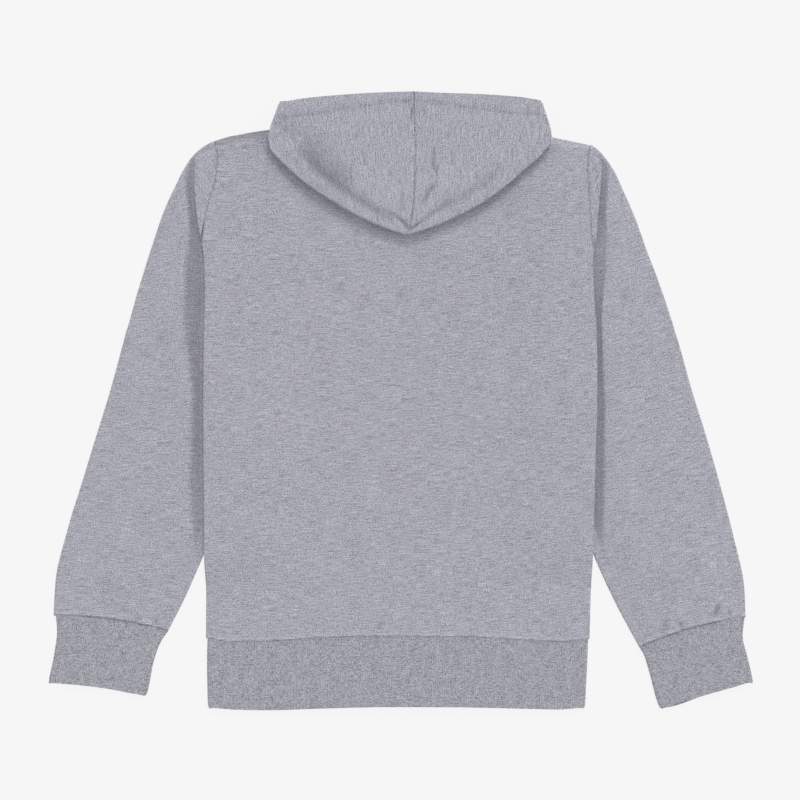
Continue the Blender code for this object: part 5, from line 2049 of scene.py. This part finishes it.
@dataclass
class Stitches:
    """A row of sewn stitches.

    Attributes:
        pitch: from one stitch to the next.
        length: of a stitch.
        radius: of the thread.
    """

    pitch: float = 3.1
    length: float = 2.4
    radius: float = 0.2

    def build(self, name: str, path: Array, dress: bpy.types.Material) -> bpy.types.Object:
        """Makes a row of stitches along a line on the cloth.

        Args:
            name: the piece's name.
            path: points of the line, in millimetres.
            dress: the thread's material.

        Returns:
            The piece.
        """
        known = run_of(path)
        places = np.arange(self.pitch / 2, known[-1] - self.pitch / 2, self.pitch)
        bm = bmesh.new()
        for place in places:
            ends = [
                Vector([np.interp(place + d, known, path[:, k]) for k in range(3)])
                for d in (-self.length / 2, self.length / 2)
            ]
            ahead = ends[1] - ends[0]
            turn = Vector((1, 0, 0)).rotation_difference(ahead).to_matrix().to_4x4()
            size = Matrix.Diagonal((self.length / 2, self.radius * 1.3, self.radius, 1))
            where = Matrix.Translation((ends[0] + ends[1]) / 2)
            bmesh.ops.create_uvsphere(
                bm,
                u_segments=8,
                v_segments=6,
                radius=1.0,
                matrix=Matrix.Scale(MM, 4) @ where @ turn @ size,
            )
        piece = object_from(name, bm, dress)
        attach(piece, Body.GARMENT.value)
        log.info("%s: %d stitches", name, len(places))
        return piece


# Materials ---------------------------------------------------


def math_operator(kind: str, reflected: bool = False) -> Callable[["Signal", Any], "Signal"]:
    """A method of signals for one of Python's operators.

    Args:
        kind: the Math node's operation.
        reflected: whether the signal is the second of the two values.

    Returns:
        The method.
    """

    def apply(signal: "Signal", other: Any) -> "Signal":
        """The operation on a signal and another value."""
        return signal.math(kind, *((other, signal) if reflected else (signal, other)))

    return apply


class Signal:
    """A value in a shader that Python's operators work on."""

    __add__ = math_operator("ADD")
    __radd__ = math_operator("ADD", reflected=True)
    __sub__ = math_operator("SUBTRACT")
    __rsub__ = math_operator("SUBTRACT", reflected=True)
    __mul__ = math_operator("MULTIPLY")
    __rmul__ = math_operator("MULTIPLY", reflected=True)

    def __init__(self, graph: "Graph", socket: bpy.types.NodeSocket) -> None:
        """Wraps a socket of a graph."""
        self.graph = graph
        self.socket = socket

    def math(self, operation: str, *values: Any) -> "Signal":
        """A Math node on these values."""
        return self.graph.node("ShaderNodeMath", {"operation": operation}, values)

    def sine(self) -> "Signal":
        """The sine, of an angle in radians."""
        return self.math("SINE", self)

    def absolute(self) -> "Signal":
        """The size of the value."""
        return self.math("ABSOLUTE", self)


class Graph:
    """A material's nodes."""

    def __init__(self, name: str) -> None:
        """Starts a material with its Principled shader."""
        self.material = bpy.data.materials.new(name)
        self.material.use_nodes = True
        self.tree = self.material.node_tree
        self.shader = self.tree.nodes["Principled BSDF"]

    def node(self, kind: str, settings: dict[str, Any], values: Any = (), output: int = 0) -> Signal:
        """Adds a node.

        Args:
            kind: its type.
            settings: properties, set before its sockets.
            values: numbers, colours or signals for its sockets, in order or by name or index.
            output: which output to return.

        Returns:
            The output.
        """
        made = self.tree.nodes.new(kind)
        for key, value in settings.items():
            setattr(made, key, value)
        pairs = values.items() if isinstance(values, dict) else enumerate(values)
        for key, value in pairs:
            self.feed(made.inputs[key], value)
        return Signal(self, made.outputs[output])

    def feed(self, socket: bpy.types.NodeSocket, value: Any) -> None:
        """Links a signal to a socket, or sets a constant on it."""
        if isinstance(value, Signal):
            self.tree.links.new(value.socket, socket)
        else:
            socket.default_value = value

    def blend(self, factor: Any, a: Any, b: Any) -> Signal:
        """A mix of two colours."""
        settings = {"data_type": "RGBA", "clamp_factor": True}
        return self.node("ShaderNodeMix", settings, {0: factor, 6: a, 7: b}, output=2)

    def varied(self, factor: Signal, colour: Sequence[float], darker: float, paler: float) -> Signal:
        """A colour that varies between two shares of itself."""
        dark, pale = ([share * part for part in colour] for share in (darker, paler))
        return self.blend(factor, (*dark, 1), (*pale, 1))

    def shaded(self, colour: Signal) -> Signal:
        """A colour darkened towards black by the painted shade that the sheets carry, in troughs, creases,
        beside seams and along the left shoulder's edge.
        """
        settings = {"attribute_name": "painted_shade"}
        painted_shade = self.node("ShaderNodeAttribute", settings, output=2)
        return self.blend(painted_shade, colour, (0.0, 0.0, 0.0, 1))

    def cloth(self) -> Signal:
        """Places on the cloth as cut, moved on with height where an edge of the cloth stands upright."""
        cut = self.node("ShaderNodeUVMap", {"uv_map": "cut"})
        facing = self.node("ShaderNodeTexCoord", {}, output=1)
        place = self.node("ShaderNodeTexCoord", {}, output=3)
        up = self.node("ShaderNodeSeparateXYZ", {}, [facing], output=2)
        height = self.node("ShaderNodeSeparateXYZ", {}, [place], output=2)
        settings = {"operation": "MULTIPLY_ADD", "use_clamp": True}
        rim = self.node("ShaderNodeMath", settings, (up.absolute(), -3.0, 1.5))
        step = self.node("ShaderNodeCombineXYZ", {}, (height * rim, height * rim * 0.7))
        return self.node("ShaderNodeVectorMath", {"operation": "ADD"}, (cut, step))

    def noise(
        self, place: Signal, size: Point, detail: float, rough: float = 0.5, turn: float = 0.0
    ) -> Signal:
        """A noise about 0, from -1 to 1.

        Args:
            place: where it is read.
            size: how often it changes for each metre along the first and second axes.
            detail: octaves of it.
            rough: share of each finer octave.
            turn: degrees that it is turned.

        Returns:
            The noise.
        """
        values = {"Vector": place, "Rotation": (0, 0, math.radians(turn)), "Scale": (*size, 1)}
        spread = self.node("ShaderNodeMapping", {"vector_type": "POINT"}, values)
        values = {"Vector": spread, "Scale": 1.0, "Detail": detail, "Roughness": rough}
        return self.node("ShaderNodeTexNoise", {"noise_dimensions": "2D"}, values) * 2.0 - 1.0

    def dress(self, sockets: dict[str, Any]) -> bpy.types.Material:
        """Feeds the shader's sockets and returns the material."""
        for name, value in sockets.items():
            self.feed(self.shader.inputs[name], value)
        return self.material


class Fibres(NamedTuple):
    """A layer of fibres in a marl knit.

    Attributes:
        along: how often it changes for each metre along a course.
        across: how often it changes for each metre across the courses.
        tone: how far it lightens and darkens the knit.
        relief: how far it stands out.
        turn: degrees that it lies from the courses.
        detail: octaves of its noise.
        rough: share of each finer octave.
    """

    along: float
    across: float
    tone: float
    relief: float = 0.0
    turn: float = 0.0
    detail: float = 1.0
    rough: float = 0.5


@dataclass(frozen=True)
class Knit:
    """A marl knit: dark and pale fibres drawn out along courses of stitches.

    Attributes:
        name: the material's name.
        pale: colour of the pale yarn, linear.
        dark: colour of the dark fibres, linear.
        contrast: how far the marl strays from its mean.
        fibres: its layers of fibres.
        pitch: from one rib or pair of wales to the next, in metres.
        rib_painted_shade: painted shade of the rib, how much paler a rib is painted than the furrow beside
            it, or 0 for a smooth knit.
        bump: strength and depth of its relief, the depth in metres.
    """

    name: str
    pale: tuple[float, float, float]
    dark: tuple[float, float, float]
    contrast: float
    fibres: tuple[Fibres, ...]
    pitch: float
    rib_painted_shade: float
    bump: Point

    def build(self) -> bpy.types.Material:
        """Makes the material."""
        graph = Graph(self.name)
        cut = graph.cloth()
        tones, reliefs = [], []
        for layer in self.fibres:
            size = (layer.along, layer.across)
            noise = graph.noise(cut, size, layer.detail, layer.rough, layer.turn)
            tones.append(noise * layer.tone)
            if layer.relief:
                reliefs.append(noise * layer.relief)
        wale = (graph.node("ShaderNodeSeparateXYZ", {}, [cut]) * (2 * math.pi / self.pitch)).sine()
        # painted light and shade: ribs painted paler, furrows darker
        if self.rib_painted_shade:
            tones.append(wale * self.rib_painted_shade)
        else:
            wale = wale.absolute()
        factor = sum(tones) * (0.5 * self.contrast) + 0.5
        colour = graph.shaded(graph.blend(factor, (*self.dark, 1), (*self.pale, 1)))
        strength, depth = self.bump
        values = {"Strength": strength, "Distance": depth, "Height": sum(reliefs, wale * 0.3)}
        normal = graph.node("ShaderNodeBump", {}, values)
        sockets = {"Base Color": colour, "Normal": normal, "Roughness": 0.95}
        return graph.dress(sockets | {"Sheen Weight": 0.5, "Sheen Roughness": 0.35})


TERRY_KNIT = Knit(
    name="grey_marl_terry",
    pale=(0.63, 0.63, 0.71),
    dark=(0.19, 0.19, 0.235),
    contrast=1.12,
    fibres=(
        Fibres(40, 1400, 0.8),
        Fibres(110, 1500, 0.95, turn=1.0),
        Fibres(350, 1500, 0.9, 0.5, turn=-1.5),
        Fibres(900, 1500, 2.35, 0.4),
        Fibres(10, 30, 0.1, detail=2.0),
    ),
    pitch=0.0011,
    rib_painted_shade=0.0,
    bump=(0.35, 0.00025),
)
RIB_KNIT = Knit(
    name="grey_marl_rib",
    pale=(0.62, 0.62, 0.68),
    dark=(0.11, 0.11, 0.14),
    contrast=1.3,
    fibres=(
        Fibres(620, 900, 1.3, 0.4, detail=2.0, rough=0.6),
        Fibres(200, 450, 0.4),
        Fibres(85, 110, 0.22, detail=2.0),
    ),
    pitch=0.0021,
    rib_painted_shade=0.08,
    bump=(0.4, 0.0004),
)


@dataclass(frozen=True)
class ZipTape:
    """Woven polyester tape: a fine herringbone."""

    name: str = "grey_zip_tape"
    colour: tuple[float, float, float] = (0.34, 0.34, 0.37)
    pitch: float = 0.0009

    def build(self) -> bpy.types.Material:
        """Makes the material."""
        graph = Graph(self.name)
        cut = graph.cloth()
        u = graph.node("ShaderNodeSeparateXYZ", {}, [cut])
        v = graph.node("ShaderNodeSeparateXYZ", {}, [cut], output=1)
        bone = (v * (2 * math.pi / 0.006)).sine().absolute() * 0.002
        weave = ((u + bone) * (2 * math.pi / self.pitch)).sine()
        soil = graph.noise(cut, (90, 90), 3.0)
        colour = graph.varied(weave * 0.25 + soil * 0.3 + 0.5, self.colour, 0.75, 1.2)
        values = {"Strength": 0.5, "Distance": 0.0002, "Height": weave}
        normal = graph.node("ShaderNodeBump", {}, values)
        return graph.dress({"Base Color": colour, "Normal": normal, "Roughness": 0.85})


@dataclass(frozen=True)
class Nylon:
    """Moulded nylon of the coils."""

    name: str = "grey_nylon"
    colour: tuple[float, float, float] = (0.30, 0.30, 0.32)

    def build(self) -> bpy.types.Material:
        """Makes the material."""
        graph = Graph(self.name)
        place = graph.node("ShaderNodeTexCoord", {}, output=3)
        tone = graph.noise(place, (60, 60), 3.0)
        wear = graph.noise(place, (900, 900), 2.0)
        colour = graph.varied(tone * 0.5 + wear * 0.3 + 0.5, self.colour, 0.85, 1.15)
        return graph.dress({"Base Color": colour, "Roughness": wear * 0.12 + 0.42})


@dataclass(frozen=True)
class Nickel:
    """Plated zip metal, tumbled rather than polished."""

    name: str = "nickel_plate"
    colour: tuple[float, float, float] = (0.62, 0.62, 0.64)

    def build(self) -> bpy.types.Material:
        """Makes the material."""
        graph = Graph(self.name)
        place = graph.node("ShaderNodeTexCoord", {}, output=3)
        brushed = graph.noise(place, (3000, 250), 3.0)
        cloud = graph.noise(place, (220, 220), 3.0)
        colour = graph.varied(cloud * 0.5 + 0.6, self.colour, 0.8, 1.0)
        roughness = brushed * 0.1 + cloud * 0.08 + 0.34
        values = {"Strength": 0.15, "Distance": 0.0001, "Height": brushed}
        normal = graph.node("ShaderNodeBump", {}, values)
        sockets = {"Base Color": colour, "Roughness": roughness, "Normal": normal}
        return graph.dress(sockets | {"Metallic": 1.0})


# Studio ------------------------------------------------------


@dataclass(frozen=True)
class Studio:
    """A pale floor, soft light from above and a camera looking straight down. Sizes in metres."""

    frame_width: float = 0.9205
    height: float = 4.0
    sensor: float = 36.0
    aim: tuple[float, float] = (-0.00115, 0.00115)

    def build(self) -> None:
        """Makes the floor, the lights and the camera."""
        self.floor()
        self.lights()
        self.camera()

    def floor(self) -> None:
        """A wide floor under the garment."""
        bm = bmesh.new()
        bmesh.ops.create_grid(bm, x_segments=2, y_segments=2, size=6.0)
        bmesh.ops.translate(bm, verts=bm.verts, vec=(0, 0, -0.0002))
        graph = Graph("pale_floor")
        place = graph.node("ShaderNodeTexCoord", {}, output=3)
        grain = graph.noise(place, (400, 400), 2.0)
        colour = graph.blend(grain * 0.02 + 0.5, (0.05, 0.05, 0.05, 1), (0.06, 0.06, 0.06, 1))
        glow = {"Emission Color": (1.0, 1.0, 1.0, 1), "Emission Strength": 0.872}
        dress = graph.dress({"Base Color": colour, "Roughness": 0.9, "Specular IOR Level": 0.0} | glow)
        object_from("floor", bm, dress)

    def lights(self) -> None:
        """Even light from all over, a soft key from beyond the hood and a pair at the sides."""
        world = bpy.data.worlds.new("studio")
        bpy.context.scene.world = world
        world.use_nodes = True
        world.node_tree.nodes["Background"].inputs["Color"].default_value = (1, 1, 1, 1)
        world.node_tree.nodes["Background"].inputs["Strength"].default_value = 0.60
        for name, strength, spread, azimuth, elevation in (
            ("key", 1.25, 20, 78, 36),
            ("right_side", 0.38, 30, 5, 30),
            ("left_side", 0.2, 30, 175, 30),
        ):
            lamp = bpy.data.lights.new(name, "SUN")
            lamp.energy = strength
            lamp.angle = math.radians(spread)
            made = bpy.data.objects.new(name + "_light", lamp)
            bpy.context.scene.collection.objects.link(made)
            turn = Matrix.Rotation(math.radians(azimuth), 4, "Z")
            tip = Matrix.Rotation(math.radians(90 - elevation), 4, "Y")
            made.matrix_world = turn @ tip

    def camera(self) -> None:
        """The camera, over the garment, +Y up."""
        data = bpy.data.cameras.new("camera")
        data.sensor_width = self.sensor
        data.lens = self.sensor * self.height / self.frame_width
        made = bpy.data.objects.new("camera", data)
        made.location = (*self.aim, self.height)
        bpy.context.scene.collection.objects.link(made)
        bpy.context.scene.camera = made


def main() -> None:
    """Builds the hoodie and its studio."""
    logging.basicConfig(level=logging.INFO, format="%(message)s")
    bpy.context.scene.view_settings.view_transform = "Standard"
    lay = Lay()
    terry, rib = TERRY_KNIT.build(), RIB_KNIT.build()
    BackPanel(lay).build(terry)
    HemBand(lay).build(rib)
    for flank in FLANKS:
        front, hood = FrontPanel(lay, flank), HoodHalf(lay, flank)
        front.build(terry)
        Sleeve(lay, flank).build(terry)
        Cuff(lay, flank).build(rib)
        hood.build(terry)
        Stitches().build("hood_hem_stitches_" + flank.name, hood.stitch_line, terry)
        Stitches().build("zip_stitches_" + flank.name, front.stitch_line(), terry)
    zipper = Zip(lay, ZipTape().build(), Nylon().build(), Nickel().build())
    for flank in FLANKS:
        zipper.tape(flank)
    zipper.chain()
    zipper.box()
    zipper.runner()
    zipper.tab()
    Studio().build()


if __name__ == "__main__":
    main()
